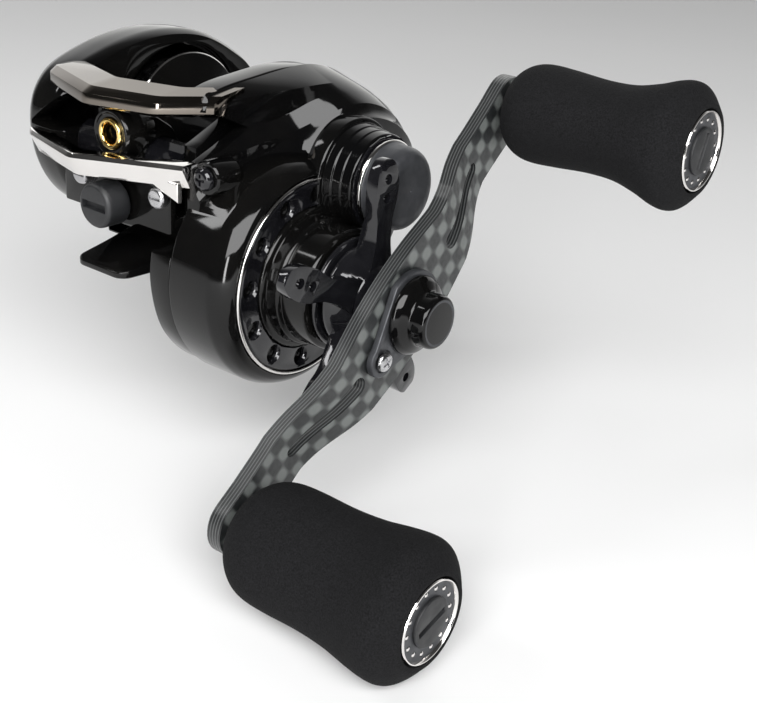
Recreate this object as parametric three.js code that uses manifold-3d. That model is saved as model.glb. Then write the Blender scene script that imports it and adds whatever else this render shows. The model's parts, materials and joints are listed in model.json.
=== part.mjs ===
// Low-profile bait-casting reel, left-hand retrieve.
// Millimetres. +X along the spool and drive axes towards the handle, -Y the way the line leaves, +Z up.
// The origin is the middle of the flat underside of the reel foot.
import * as THREE from "three";
import { mergeVertices } from "three/addons/utils/BufferGeometryUtils.js";
import Module from "manifold-3d";

const wasm = await Module();
wasm.setup();

// ---------------------------------------------------------------- driving dimensions
const SPOOL = [4.2, 18.9];          // y, z of the spool axis
const DRIVE = [-8.7, 1.7];          // y, z of the drive axis
const WORM = [-19.4, 20.5];         // y, z of the level-wind worm
const GUIDE_ROD = [-15.4, 14.8];    // y, z of the rod that steadies the line guide
const GUIDE_EYE = [0, 26.1];        // x, z of the ring the line runs through

const GEAR_WALL = [12.6, 17.8];     // x range of the frame wall on the handle side
const WALL_POCKET_X = 15.6;
const PALM_RING = [-26.3, -15.4];   // x range of the frame ring on the palm side
const SIDE_PLATE_X = [18.0, 32.0];
const PALM_PLATE_X = [-29.5, -26.5];
const PALM_MIDDLE = [1, 20];        // y, z that the palm-side outline shrinks towards
const SHELL = 1.9;                  // wall of both side covers

const SPOOL_X = [-14.2, 12.2];
const SPOOL_R = 15.5;
const ARBOR_R = 8.2;
const FLANGE_T = 1.0;

const DRIVE_TEETH = 71;
const PINION_TEETH = 10;
const CENTRES = Math.hypot(SPOOL[0] - DRIVE[0], SPOOL[1] - DRIVE[1]);
const GEAR_MODULE = (2 * CENTRES) / (DRIVE_TEETH + PINION_TEETH);
const COG_TEETH = 50;
const WORM_TEETH = 10;
const WORM_CENTRES = Math.hypot(WORM[0] - DRIVE[0], WORM[1] - DRIVE[1]);
const COG_MODULE = (2 * WORM_CENTRES) / (COG_TEETH + WORM_TEETH);

const HOUSING_R = 22.5;             // round part of the handle-side cover
const COVER_R = 18.6;               // perforated disc
const HOLE_CIRCLE_R = 15.7;
const HOLE_R = 1.8;
const HOLE_COUNT = 12;
const HOLE_PHASE = 84.2;
const BOSS_R = [12.2, 11.6];
const BOSS_X = [35.8, 41.7];

const STAR_PHASE = 84.4;
const STAR_ARMS = 5;
const STAR_REACH = 26.3;
const HANDLE_ANGLE = 39.8;          // degrees from +Y towards +Z
const HALF_THROW = 47.5;            // drive axis to knob axis
const ARM_FACE = [55.6, 50.8];      // x of the outer face, middle and ends
const ARM_T = 3.0;
const ARM_BEND = [17, 33];          // the arm slopes between these distances from the middle
const KNOB_X = [52.6, 90.6];
const KNOB_TURN = [164, 49];        // degrees, direction of each grip's wide side
const CLUTCH_PLATE_X = [16.3, 17.0];
const THUMB_TRAVEL = 3.0;           // how far the thumb bar is pressed down
const DETENTS = 12;                 // studs under the rim of the tension cap
const CAP_DIMPLES = 14;             // dimples round each knob cap
const CAP_SLOT_TURN = [70, 15];     // degrees, coin slot of the upper and lower cap
const COIL_STEPS = 7;               // facets per turn of a wound wire or groove

// ---------------------------------------------------------------- geometry helpers
const rad = THREE.MathUtils.degToRad;

function signedVolume(position, index) {
  const a = new THREE.Vector3();
  const b = new THREE.Vector3();
  const c = new THREE.Vector3();
  let sum = 0;
  for (let i = 0; i < index.length; i += 3) {
    a.fromBufferAttribute(position, index[i]);
    b.fromBufferAttribute(position, index[i + 1]);
    c.fromBufferAttribute(position, index[i + 2]);
    sum += a.dot(b.cross(c));
  }
  return sum;
}

// Turns a closed triangle mesh into a solid, facing outwards.
function solid(geometry) {
  const bare = geometry.clone();
  bare.deleteAttribute("normal");
  bare.deleteAttribute("uv");
  const merged = mergeVertices(bare, 1e-4);
  const raw = merged.index.array;
  const kept = [];
  for (let i = 0; i < raw.length; i += 3) {
    const [p, q, r] = [raw[i], raw[i + 1], raw[i + 2]];
    if (p !== q && q !== r && r !== p) kept.push(p, q, r);
  }
  const position = merged.attributes.position;
  if (signedVolume(position, kept) < 0) kept.reverse();
  const mesh = new wasm.Mesh({
    numProp: 3,
    vertProperties: new Float32Array(position.array),
    triVerts: new Uint32Array(kept),
  });
  return new wasm.Manifold(mesh);
}

function join(...parts) {
  return parts.reduce((sum, item) => sum.add(item));
}

function cut(body, ...tools) {
  return tools.reduce((rest, tool) => rest.subtract(tool), body);
}

// Sweeps a flat outline along one axis. "yz" outlines run along x, "xy" along z, "xz" along y.
function slab(outline, from, to, plane = "yz", bevel = 0, steps = 2) {
  const shape = new THREE.Shape(outline.map(([u, v]) => new THREE.Vector2(u, v)));
  const geometry = new THREE.ExtrudeGeometry(shape, {
    depth: to - from - 2 * bevel,
    bevelEnabled: bevel > 0,
    bevelThickness: bevel,
    bevelSize: bevel,
    bevelOffset: -bevel,
    bevelSegments: steps,
  });
  geometry.translate(0, 0, from + bevel);
  const place = {
    yz: new THREE.Matrix4().set(0, 0, 1, 0, 1, 0, 0, 0, 0, 1, 0, 0, 0, 0, 0, 1),
    xy: new THREE.Matrix4(),
    xz: new THREE.Matrix4().set(1, 0, 0, 0, 0, 0, 1, 0, 0, 1, 0, 0, 0, 0, 0, 1),
  };
  geometry.applyMatrix4(place[plane]);
  return solid(geometry);
}

function box(x, y, z) {
  const geometry = new THREE.BoxGeometry(x[1] - x[0], y[1] - y[0], z[1] - z[0]);
  geometry.translate((x[0] + x[1]) / 2, (y[0] + y[1]) / 2, (z[0] + z[1]) / 2);
  return solid(geometry);
}

// Turns a profile of [distance along the axis, radius] pairs about an axis parallel to X.
function turned(profile, centre, segments = 18) {
  const closed = profile[0][1] > 0;
  const points = profile.map(([along, radius]) => new THREE.Vector2(radius, along));
  if (closed) points.push(points[0].clone());
  const geometry = new THREE.LatheGeometry(points, segments);
  geometry.applyMatrix4(new THREE.Matrix4().set(0, 1, 0, 0, 0, 0, 1, 0, 1, 0, 0, 0, 0, 0, 0, 1));
  geometry.translate(0, centre[0], centre[1]);
  return solid(geometry);
}

// The same about an axis parallel to Y, through x, z.
function turnedY(profile, centre, segments = 20) {
  const body = turned(profile, [0, 0], segments);
  return body.rotate([0, 0, 90]).translate([centre[0], 0, centre[1]]);
}

function rod(x, radius, centre, segments = 12) {
  return turned([[x[0], 0], [x[0], radius], [x[1], radius], [x[1], 0]], centre, segments);
}

function tube(x, inner, outer, centre, segments = 18) {
  return turned([[x[0], inner], [x[0], outer], [x[1], outer], [x[1], inner]], centre, segments);
}

// Skins matching closed loops of points and closes both ends.
function loft(loops) {
  const count = loops[0].length;
  const vertices = loops.flat(2);
  const index = [];
  for (let i = 0; i < loops.length - 1; i += 1) {
    for (let j = 0; j < count; j += 1) {
      const a = i * count + j;
      const b = i * count + ((j + 1) % count);
      index.push(a, b, a + count, b, b + count, a + count);
    }
  }
  const last = (loops.length - 1) * count;
  for (let j = 1; j < count - 1; j += 1) {
    index.push(0, j + 1, j);
    index.push(last, last + j, last + j + 1);
  }
  const geometry = new THREE.BufferGeometry();
  geometry.setAttribute("position", new THREE.Float32BufferAttribute(vertices, 3));
  geometry.setIndex(index);
  return solid(geometry);
}

// A smooth closed outline through a few points.
function smoothLoop(points, samples) {
  const curve = new THREE.CatmullRomCurve3(points.map(([u, v]) => new THREE.Vector3(u, v, 0)), true);
  return curve.getSpacedPoints(samples).slice(0, samples).map((p) => [p.x, p.y]);
}

function circle(centre, radius, count = 16) {
  const points = [];
  for (let i = 0; i < count; i += 1) {
    const a = (2 * Math.PI * i) / count;
    points.push([centre[0] + radius * Math.cos(a), centre[1] + radius * Math.sin(a)]);
  }
  return points;
}

function polar(centre, radius, degrees) {
  return [centre[0] + radius * Math.cos(rad(degrees)), centre[1] + radius * Math.sin(rad(degrees))];
}

// Two circles joined by straight sides.
function link(a, ra, b, rb, count = 16) {
  const angle = Math.atan2(b[1] - a[1], b[0] - a[0]);
  const points = [];
  for (let i = 0; i <= count / 2; i += 1) {
    const t = angle + Math.PI / 2 + (Math.PI * i) / (count / 2);
    points.push([a[0] + ra * Math.cos(t), a[1] + ra * Math.sin(t)]);
  }
  for (let i = 0; i <= count / 2; i += 1) {
    const t = angle - Math.PI / 2 + (Math.PI * i) / (count / 2);
    points.push([b[0] + rb * Math.cos(t), b[1] + rb * Math.sin(t)]);
  }
  return points;
}

// A spur gear outline with slim straight-flanked teeth; one tooth points along the phase direction.
function gearOutline(centre, teeth, module, phase, addendum = 0.8, dedendum = 1.15) {
  const pitchR = (teeth * module) / 2;
  const rows = [[pitchR - dedendum * module, 0.62], [pitchR + addendum * module, 0.24]];
  const pitchAngle = (2 * Math.PI) / teeth;
  const points = [];
  for (let i = 0; i < teeth; i += 1) {
    const mid = rad(phase) + i * pitchAngle;
    for (const [radius, share] of rows) {
      const a = mid - (share * pitchAngle) / 2;
      points.push([centre[0] + radius * Math.cos(a), centre[1] + radius * Math.sin(a)]);
    }
    for (const [radius, share] of [...rows].reverse()) {
      const a = mid + (share * pitchAngle) / 2;
      points.push([centre[0] + radius * Math.cos(a), centre[1] + radius * Math.sin(a)]);
    }
  }
  return points;
}

function directionDeg(from, to) {
  return THREE.MathUtils.radToDeg(Math.atan2(to[1] - from[1], to[0] - from[0]));
}

// A round wire wound about an axis parallel to X.
function coil(x, radius, wire, turns, centre) {
  class Helix extends THREE.Curve {
    getPoint(t, target = new THREE.Vector3()) {
      const a = 2 * Math.PI * turns * t;
      return target.set(
        x[0] + wire + (x[1] - x[0] - 2 * wire) * t,
        centre[0] + radius * Math.cos(a),
        centre[1] + radius * Math.sin(a),
      );
    }
  }
  const section = new THREE.Shape(circle([0, 0], wire, 4).map(([u, v]) => new THREE.Vector2(u, v)));
  const steps = Math.round(turns * COIL_STEPS);
  return solid(new THREE.ExtrudeGeometry(section, { steps, extrudePath: new Helix() }));
}

// ---------------------------------------------------------------- outlines seen from the side (y, z)
const GEAR_SIDE = smoothLoop([
  polar(DRIVE, HOUSING_R, -60), polar(DRIVE, HOUSING_R, -90), polar(DRIVE, HOUSING_R, -120),
  polar(DRIVE, HOUSING_R, -150), polar(DRIVE, HOUSING_R, 180), polar(DRIVE, HOUSING_R, 165),
  polar(DRIVE, HOUSING_R, 152), [-26.9, 17.5], [-26.4, 23], [-24.4, 30.5], [-22.4, 34.6], [-18.5, 36.3],
  [-9, 37.4], [1, 37.8], [10, 36.4], [18, 32.6], [24, 27.4], [27.4, 20.5], [26.8, 12.5], [22, 4.5],
  [16.4, -2.5], [11.6, -8.6],
], 38);
const PALM_SIDE = smoothLoop([
  [4, 0.6], [-8, 1.6], [-16.5, 4.2], [-22.2, 8.2], [-26, 14], [-27.6, 21], [-26.8, 28], [-23, 33.2],
  [-14, 37], [-4.5, 38.8], [4, 38.8], [12, 37.2], [20, 33.2], [26.6, 28], [29.6, 20.5],
  [28, 12], [22, 5], [14, 1.6],
], 28);

function shrink(outline, amount) {
  return outline.map((p, i) => {
    const before = outline[(i + outline.length - 1) % outline.length];
    const after = outline[(i + 1) % outline.length];
    const dx = after[0] - before[0];
    const dy = after[1] - before[1];
    const length = Math.hypot(dx, dy);
    const turn = THREE.ShapeUtils.area(outline.map(([u, v]) => new THREE.Vector2(u, v))) > 0 ? 1 : -1;
    return [p[0] - (turn * amount * dy) / length, p[1] + (turn * amount * dx) / length];
  });
}

// An outline at one x, scaled towards a point inside it.
function scaledLoop(outline, [my, mz], x, share) {
  return outline.map(([y, z]) => [x, my + share * (y - my), mz + share * (z - mz)]);
}

function palmLoop(x, share) {
  return scaledLoop(PALM_SIDE, PALM_MIDDLE, x, share);
}

// The handle-side cover cut across at each y: height of its crest, then x, z of the crease beside
// the crest, the crease above the ledge, the ledge's edge and the foot of its fillet, then the
// height of the underside.
const HUMP = [
  [-26.2, 23.9, [18.9, 23.7], [19.1, 23.5], [19.3, 23.2], [21.0, 17.8], 8.0],
  [-24.4, 30.0, [19.2, 29.5], [19.2, 26.8], [20.0, 24.3], [21.6, 19.4], 4.0],
  [-22.6, 35.8, [19.4, 34.4], [19.3, 30.0], [20.4, 24.4], [22.0, 20.7], 0.0],
  [-20.0, 36.2, [19.8, 34.6], [19.5, 30.0], [21.2, 25.0], [22.1, 21.6], -2.0],
  [-16.0, 36.6, [20.8, 34.7], [19.9, 29.8], [21.7, 25.3], [22.2, 22.7], -2.0],
  [-12.0, 37.0, [22.0, 35.0], [20.5, 29.5], [23.0, 26.3], [23.1, 23.8], -2.0],
  [-8.0, 37.3, [23.3, 35.3], [21.4, 29.4], [24.1, 27.2], [25.0, 24.4], -2.0],
  [-4.0, 37.6, [24.4, 35.5], [23.2, 31.0], [25.4, 28.3], [27.2, 23.8], -2.0],
  [0.0, 37.8, [25.0, 35.6], [25.2, 33.0], [27.6, 30.3], [31.2, 26.4], -2.0],
  [4.0, 37.8, [25.1, 35.4], [27.4, 33.7], [29.5, 31.8], [31.9, 29.4], -2.0],
  [8.0, 37.2, [25.0, 35.0], [27.6, 33.6], [30.0, 31.9], [32.0, 29.5], -4.0],
  [12.0, 36.0, [24.8, 34.0], [27.5, 32.7], [30.0, 31.0], [32.0, 28.6], -5.0],
  [16.0, 34.0, [24.6, 32.3], [27.4, 31.0], [29.9, 29.3], [31.9, 27.0], -3.0],
  [20.0, 31.2, [24.4, 29.8], [27.2, 28.4], [29.6, 26.5], [31.6, 24.4], 2.0],
  [23.6, 27.6, [24.2, 26.3], [27.0, 24.7], [29.0, 22.8], [30.8, 20.9], 6.8],
  [26.2, 23.0, [23.8, 22.0], [26.2, 20.6], [27.8, 19.2], [29.2, 17.8], 11.5],
  [27.3, 19.4, [22.0, 18.8], [23.5, 18.3], [24.5, 17.8], [25.5, 17.2], 15.8],
];
const HUMP_HOLLOW_Y = [-13, 25];    // how far the hollow above the gears reaches
const HOLLOW_ROOF = [[-14, 23.25], [0.4, 34], [26, 34], [26, 42], [-14, 42]];
const LEDGE_CUT = [
  [-32, 22.0], [-26.3, 23.8], [-19.8, 26.2], [-13.2, 28.9], [-17.4, 30.9], [-22.4, 33.0], [-32, 33.6],
];

// The cover's outer body from an inner face at x, or with a depth the hollow inside it.
function humpBody(innerX, depth = 0) {
  const [front, rear] = HUMP_HOLLOW_Y;
  const rows = depth > 0 ? HUMP.filter(([y]) => y > front && y < rear) : HUMP;
  return loft(rows.map(([y, crest, e, b, c, d, low]) => {
    const fillet = [c[0] + 0.35 * (d[0] - c[0]), c[1] - 0.62 * (c[1] - d[1])];
    const outline = [
      [innerX, low], [innerX, crest - 0.5], [innerX + 0.6, crest], e, b, c, fillet, d,
      [d[0] - 0.6, low + 3.5], [e[0] - 0.6, low],
    ];
    if (depth === 0) {
      return outline.map(([x, z]) => [x, y, z]);
    }
    return shrink(outline, depth).map(([x, z]) => [x, y, z]);
  }));
}

// ---------------------------------------------------------------- frame and covers
const YOKE_POSTS = [[3.4, 25.6], [5.0, 12.2]];
const PLATE_SCREWS = [[19.6, 8.6], [-6.0, 34.0]];
const BAR_SCREW = [22.0, 22.1];     // x, z of the screw at the handle end of the lower bar
const RELEASE = [-0.3, 13.0];       // x, z of the release knob
const FRONT_SCREWS = [[-11.8, 16.0], [9.8, 16.0]];

function frame() {
  const wall = slab(shrink(GEAR_SIDE, 0.6), GEAR_WALL[0], GEAR_WALL[1]);
  const pocket = slab(shrink(GEAR_SIDE, 3.0), WALL_POCKET_X, GEAR_WALL[1] + 1);
  const ring = loft([
    palmLoop(PALM_RING[0], 0.95), palmLoop(-24.5, 0.985), palmLoop(-22, 1), palmLoop(PALM_RING[1], 1),
  ]);
  const ringPocket = slab(shrink(PALM_SIDE, 3.4), PALM_RING[0] - 1, -17.6);
  const frontNotch = slab([
    [-14, 30.6], [-15.4, 30.6], [-24.2, 23.4], [-24.2, 23], [-14, 23],
  ], -34, -17, "xz");
  const ringHole = rod([PALM_RING[0] - 1, PALM_RING[1] + 1], SPOOL_R + 1.0, SPOOL, 26);
  const across = [PALM_RING[1] - 1, GEAR_WALL[0] + 1];
  const sole = box(across, [-15.6, 22], [0, 2.6]);
  const web = box(across, [-15.6, -13.2], [0, 12]);
  const shelf = box(across, [-25.4, -13.2], [10.4, 12]);
  const apron = box(across, [-27, -24.8], [9.4, 18]);
  const rearWeb = box(across, [20.6, 23], [0, 11]);
  const rearBar = box(across, [20.6, 26.5], [9, 11.4]);
  const footSide = slab([
    [-32.4, 0], [-32.4, 1.3], [-24, 2.2], [-15.7, 3.4], [20, 2.6], [25, 2.2], [31.6, 1.2], [31.6, 0],
  ], -9, 9, "yz");
  const footPlan = slab([
    [-5.2, -32.4], [-6.8, -31], [-7.6, -24], [-8.6, -14], [-8.6, 14], [-7.6, 24], [-6.4, 30], [-4.8, 31.6],
    [4.8, 31.6], [6.4, 30], [7.6, 24], [8.6, 14], [8.6, -14], [7.6, -24], [6.8, -31], [5.2, -32.4],
  ], -1, 6, "xy");
  const body = join(
    cut(wall, pocket, slab(LEDGE_CUT, 12, 19)), cut(ring, ringPocket, ringHole, frontNotch),
    sole, web, shelf, apron, rearWeb, rearBar,
    footSide.intersect(footPlan),
  );
  const through = [GEAR_WALL[0] - 1, GEAR_WALL[1] + 1];
  const openings = [
    rod(through, 4.7, SPOOL),
    rod(through, 4.4, DRIVE),
    rod(through, 1.8, WORM),
    box(through, [20.2, 28.6], [15.4, 28.2]),
    rod([PALM_RING[1] - 3.5, PALM_RING[1] + 1], 1.8, WORM),
    turnedY([[-28, 0], [-28, 1.9], [-20, 1.9], [-20, 0]], RELEASE, 12),
    ...FRONT_SCREWS.map((p) => turnedY([[-28, 0], [-28, 1.2], [-20, 1.2], [-20, 0]], p, 10)),
    ...PLATE_SCREWS.map((p) => rod([11, 19], 1.15, p, 10)),
    ...PLATE_SCREWS.map((p) => rod([12, 14.2], 2.1, p, 12)),
  ];
  return cut(body, ...openings);
}

function gearSidePlate() {
  const [seam, face] = SIDE_PLATE_X;
  const hump = humpBody(seam);
  const drum = turned([
    [seam, 0], [seam, HOUSING_R], [28.4, HOUSING_R], [30.8, HOUSING_R - 1.1],
    [face, HOUSING_R - 2.6], [face, 0],
  ], DRIVE, 40);
  const humpHollow = cut(humpBody(seam - 2, 1.1), slab(HOLLOW_ROOF, 10, 40));
  const wormPocket = rod([seam - 1, 20.6], 4.5, WORM, 18);
  const drumHollow = rod([seam - 1, 29.2], HOUSING_R - SHELL, DRIVE, 36);
  const seat = rod([31.0, 34], COVER_R + 1.15, DRIVE, 30);
  const boss = turned([
    [29, 0], [29, BOSS_R[0] + 0.3], [BOSS_X[0] - 0.4, BOSS_R[0] + 0.3], [BOSS_X[0], BOSS_R[0]],
    [BOSS_X[1] - 0.5, BOSS_R[1]], [BOSS_X[1], BOSS_R[1] - 0.5], [BOSS_X[1], 0],
  ], DRIVE, 24);
  const capBoss = turned([[29, 0], [29, 10.4], [33, 9.9], [38.6, 9.5], [38.6, 0]], SPOOL, 20);
  const posts = YOKE_POSTS.map((p) => rod([25.0, 30], 0.9, p, 8));
  const screwPosts = PLATE_SCREWS.map((p) => rod([18.1, 30.5], 2.2, p, 12).intersect(hump));
  const lug = turnedY([[-25.5, 0], [-25.5, 2.9], [-25.2, 3.2], [-20, 3.3], [-20, 0]], BAR_SCREW, 20);
  const inner = join(...posts, ...screwPosts);
  const shell = cut(join(hump, drum), humpHollow, drumHollow, wormPocket, seat, slab(LEDGE_CUT, 17, 27));
  const cover = join(shell, cut(lug, wormPocket));
  const bosses = cut(join(boss, capBoss), rod([28, 29.2], 14, DRIVE));
  const body = join(cover, bosses, inner);
  return cut(
    body,
    rod([28.5, 40.6], 8.3, DRIVE, 16),
    rod([28.5, 43], 5.4, DRIVE, 14),
    rod([28.5, 36.9], 5.2, SPOOL, 12),
    rod([28.5, 40], 1.9, SPOOL, 12),
    ...PLATE_SCREWS.map((p) => rod([18, 22.6], 1.15, p, 10)),
    turnedY([[-34, 0], [-34, 1.15], [-22.5, 1.15], [-22.5, 0]], BAR_SCREW, 10),
  );
}

function driveCover() {
  const disc = turned([
    [31.15, BOSS_R[0] + 0.5], [31.15, COVER_R], [32.1, COVER_R], [32.3, COVER_R - 0.3],
    [32.3, BOSS_R[0] + 0.5],
  ], DRIVE, 30);
  const holes = [rod([30, 40], 10.6, SPOOL, 24)];
  for (let i = 0; i < HOLE_COUNT; i += 1) {
    holes.push(rod([30, 34], HOLE_R, polar(DRIVE, HOLE_CIRCLE_R, HOLE_PHASE + (360 * i) / HOLE_COUNT), 7));
  }
  return cut(disc, ...holes);
}

function coverTrimRing() {
  const ring = turned([
    [31.2, COVER_R + 0.2], [31.2, COVER_R + 0.95], [32.3, COVER_R + 0.95], [32.6, COVER_R + 0.6],
    [32.5, COVER_R + 0.2],
  ], DRIVE, 30);
  return cut(ring, rod([30, 40], 10.6, SPOOL, 24));
}

function palmSidePlate() {
  const [outer, inner] = PALM_PLATE_X;
  const dome = loft([
    palmLoop(outer, 0.66), palmLoop(-29.2, 0.79), palmLoop(-28.2, 0.88), palmLoop(inner, 0.94),
  ]);
  const bearingBoss = rod([outer + 1.5, -17.6], 6.4, SPOOL, 18);
  const brakeFlange = rod([-21.2, -19.8], 13.2, SPOOL, 20);
  const dialHole = rod([outer - 1, outer + 3.4], 6.3, SPOOL, 20);
  const seat = rod([-24.6, -17], 4.75, SPOOL, 18);
  const cover = cut(join(dome, bearingBoss), dialHole, seat);
  return join(cover, cut(brakeFlange, rod([-25, -17], 6.0, SPOOL, 18)));
}

// One cross-section of a front bar: the loop is shifted and scaled along its length.
function barLoop(x, y, z, section) {
  return section.map(([dy, dz]) => [x, y + dy, z + dz]);
}

// The two frame ends with a hair of clearance, to seat the front bars against.
function wallClearance() {
  return [
    slab(shrink(GEAR_SIDE, 0.4), GEAR_WALL[0] - 0.2, GEAR_WALL[1] + 0.2),
    slab(shrink(PALM_SIDE, -0.2), PALM_PLATE_X[0] - 1, PALM_RING[1] + 0.2),
  ];
}

function frontCowl() {
  const section = [
    [0, -3.2], [-1.4, -2.4], [-1.2, -0.6], [0.6, 0.5], [6.4, 1.2], [6.2, -0.4], [2.4, -0.9], [1.4, -3.2],
  ];
  const spine = [
    [-24, -20.5, 33.6], [-20.6, -24.2, 34.0], [-1.6, -31.6, 34.7], [12.2, -27.9, 34.8], [20.4, -20.6, 35.2],
  ];
  const bar = loft(spine.map(([x, y, z]) => barLoop(x, y, z, section)));
  return cut(bar, ...wallClearance(), box([GEAR_WALL[1] - 0.1, 22], [-36, -10], [28, 40]));
}

function lowerFrontBar() {
  const section = [[1.6, -4.4], [0.4, -4.4], [-1.4, -0.8], [-1.0, 0], [1.8, 0.2], [3.2, -2.4], [3.0, -4.2]];
  const spine = [[-26.6, -24.9, 22.4], [-22.6, -28.0, 22.4], [-4.0, -33.6, 22.8], [19.0, -27.0, 24.2]];
  const bar = loft(spine.map(([x, y, z]) => barLoop(x, y, z, section)));
  const guidePath = box([-15, 12.4], [-28.8, -20], [20.9, 26]);
  return cut(bar, ...wallClearance(), guidePath, box([17.6, 20], [-26.8, -18], [14, 27]));
}

function lineGuide() {
  const side = slab([
    [-24.2, 14.0], [-24.4, 29.0], [-20.6, 29.0], [-16.4, 26.2], [-14.2, 22.4], [-13.0, 17.4], [-13.2, 13.0],
    [-21.6, 12.6],
  ], -3.9, 3.9, "yz");
  const barrel = turnedY([
    [-28.2, 0], [-28.4, 4.4], [-27.8, 4.8], [-24.4, 5.2], [-21, 4.4], [-21, 0],
  ], GUIDE_EYE, 18);
  return cut(
    join(side, barrel),
    rod([-6, 6], 4.4, WORM, 14),
    rod([-6, 6], 1.25, GUIDE_ROD, 12),
    turnedY([[-30, 0], [-30, 3.15], [-26.2, 3.15], [-26.2, 1.8], [-12, 2.6], [-12, 0]], GUIDE_EYE, 14),
    slab(circle([0, WORM[0]], 1.5, 12), 10, 20, "xy"),
  );
}

function lineGuideRing() {
  return turnedY([
    [-28.5, 2.0], [-28.6, 2.4], [-28.5, 2.9], [-26.4, 3.0], [-26.4, 1.9],
  ], GUIDE_EYE, 18);
}

function wormShaft() {
  const shaft = turned([
    [-18.2, 0], [-18.2, 1.5], [-14.9, 1.5], [-14.9, 2.7], [12.2, 2.7], [12.2, 1.5], [20.2, 1.5], [20.2, 0],
  ], WORM, 12);
  const grooves = [1, -1].map((hand) => {
    const groove = coil([-11.6, 9.6], 2.7, 0.55, 2.5, [0, 0]);
    return (hand > 0 ? groove : groove.mirror([0, 1, 0])).translate([0, WORM[0], WORM[1]]);
  });
  return cut(shaft, ...grooves);
}

function wormTube() {
  const body = tube([-15.2, 12.4], 3.4, 4.2, WORM, 14);
  return cut(body, box([-13, 10.2], [WORM[0] - 1.7, WORM[0] + 1.7], [10, WORM[1]]));
}

function pawl() {
  return slab(circle([0, WORM[0]], 1.3, 10), 13.4, WORM[1] - 2.9, "xy");
}

function wormGear() {
  const toothed = slab(
    gearOutline(WORM, WORM_TEETH, COG_MODULE, directionDeg(WORM, DRIVE) + 180 / WORM_TEETH), 18.3, 19.5,
  );
  return cut(toothed, rod([17, 21], 1.65, WORM, 10));
}

// ---------------------------------------------------------------- spool
function spool() {
  const [a, b] = SPOOL_X;
  return turned([
    [a, SPOOL_R - 0.3], [a + 0.3, SPOOL_R], [a + FLANGE_T, SPOOL_R], [a + 2.4, ARBOR_R], [b - 2.4, ARBOR_R],
    [b - FLANGE_T, SPOOL_R], [b - 0.3, SPOOL_R], [b, SPOOL_R - 0.3], [b - 1.0, ARBOR_R - 1.0],
    [1.6, ARBOR_R - 1.0], [1.6, 1.5], [-3.6, 1.5], [-3.6, ARBOR_R - 1.0], [a + 1.0, ARBOR_R - 1.0],
  ], SPOOL, 24);
}

function spoolShaft() {
  const body = turned([[-23.6, 0], [-23.4, 1.3], [35.6, 1.3], [36.4, 0]], SPOOL, 12);
  return cut(body, box([19.05, 20.05], [SPOOL[0] - 3, SPOOL[0] + 3], [SPOOL[1] - 0.5, SPOOL[1] + 0.5]));
}

function spoolPin() {
  return box([19.15, 19.95], [SPOOL[0] - 2.1, SPOOL[0] + 2.1], [SPOOL[1] - 0.4, SPOOL[1] + 0.4]);
}

function brakeMagnetRing() {
  return tube([-19.6, -17.8], 9.0, 13.0, SPOOL, 18);
}

function brakeDial() {
  const dial = turned([[-30.2, 0], [-30.2, 5.4], [-29.6, 6.1], [-28.1, 6.1], [-28.1, 0]], SPOOL, 20);
  return cut(dial, box([-31, -29.6], [SPOOL[0] - 4.6, SPOOL[0] + 4.6], [SPOOL[1] - 0.8, SPOOL[1] + 0.8]));
}

function tensionCap() {
  return turned([
    [43.8, 0], [43.8, 6.0], [39.3, 6.2], [39.3, 8.5], [40.2, 8.5], [40.4, 8.1], [44.0, 7.8], [45.0, 7.0],
    [45.5, 5.6], [45.5, 0],
  ], SPOOL, 20);
}

function detentRing() {
  const ring = tube([38.75, 39.05], 6.2, 9.2, SPOOL, 18);
  const studs = [];
  for (let i = 0; i < DETENTS; i += 1) {
    studs.push(rod([38.8, 39.2], 0.3, polar(SPOOL, 8.85, (360 * i) / DETENTS), 4));
  }
  return join(ring, ...studs);
}

// ---------------------------------------------------------------- gear train
const MESH_DIRECTION = directionDeg(DRIVE, SPOOL);

function driveGear() {
  const toothed = slab(gearOutline(DRIVE, DRIVE_TEETH, GEAR_MODULE, MESH_DIRECTION), 20.5, 24.4);
  return cut(toothed, rod([21.7, 25], 15, DRIVE, 20), rod([20, 26], 3.3, DRIVE, 12));
}

function pinion() {
  const phase = MESH_DIRECTION + 180 + 180 / PINION_TEETH;
  const toothed = slab(gearOutline(SPOOL, PINION_TEETH, GEAR_MODULE, phase), 20.3, 25.2);
  const ends = turned([
    [19.0, 0], [19.0, 2.0], [25.6, 2.0], [25.6, 2.1], [26.7, 2.1], [26.8, 2.9],
    [27.5, 2.9], [27.5, 0],
  ], SPOOL, 12);
  return cut(
    join(toothed, ends),
    rod([18, 29], 1.45, SPOOL, 8),
    box([18.5, 20.1], [SPOOL[0] - 4, SPOOL[0] + 4], [SPOOL[1] - 0.55, SPOOL[1] + 0.55]),
  );
}

function yoke() {
  const bar = slab(link(YOKE_POSTS[0], 2.4, YOKE_POSTS[1], 2.4), 25.8, 26.5);
  const hub = rod([25.8, 26.5], 4.0, SPOOL, 16);
  return cut(
    join(bar, hub),
    rod([25, 28], 2.3, SPOOL, 12),
    ...YOKE_POSTS.map((p) => rod([25, 28], 1.15, p, 8)),
  );
}

function yokeSpring(i) {
  return coil([26.65, 28.95], 1.6, 0.22, 2.5, YOKE_POSTS[i]);
}

function clutchPlate() {
  const top = [SPOOL[0], SPOOL[1] + THUMB_TRAVEL];
  const [back, face] = CLUTCH_PLATE_X;
  const ring = slab(link(SPOOL, 5.2, top, 5.2), back, face);
  const tail = box(CLUTCH_PLATE_X, [SPOOL[0] + 4, 23.2], [18.4, 22.4]);
  const tongue = box([14.2, face], [20.8, 23.2], [19.6, 24.8]);
  return cut(join(ring, tail, tongue), slab(link(SPOOL, 3.4, top, 3.4), back - 0.5, face + 0.5));
}

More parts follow.
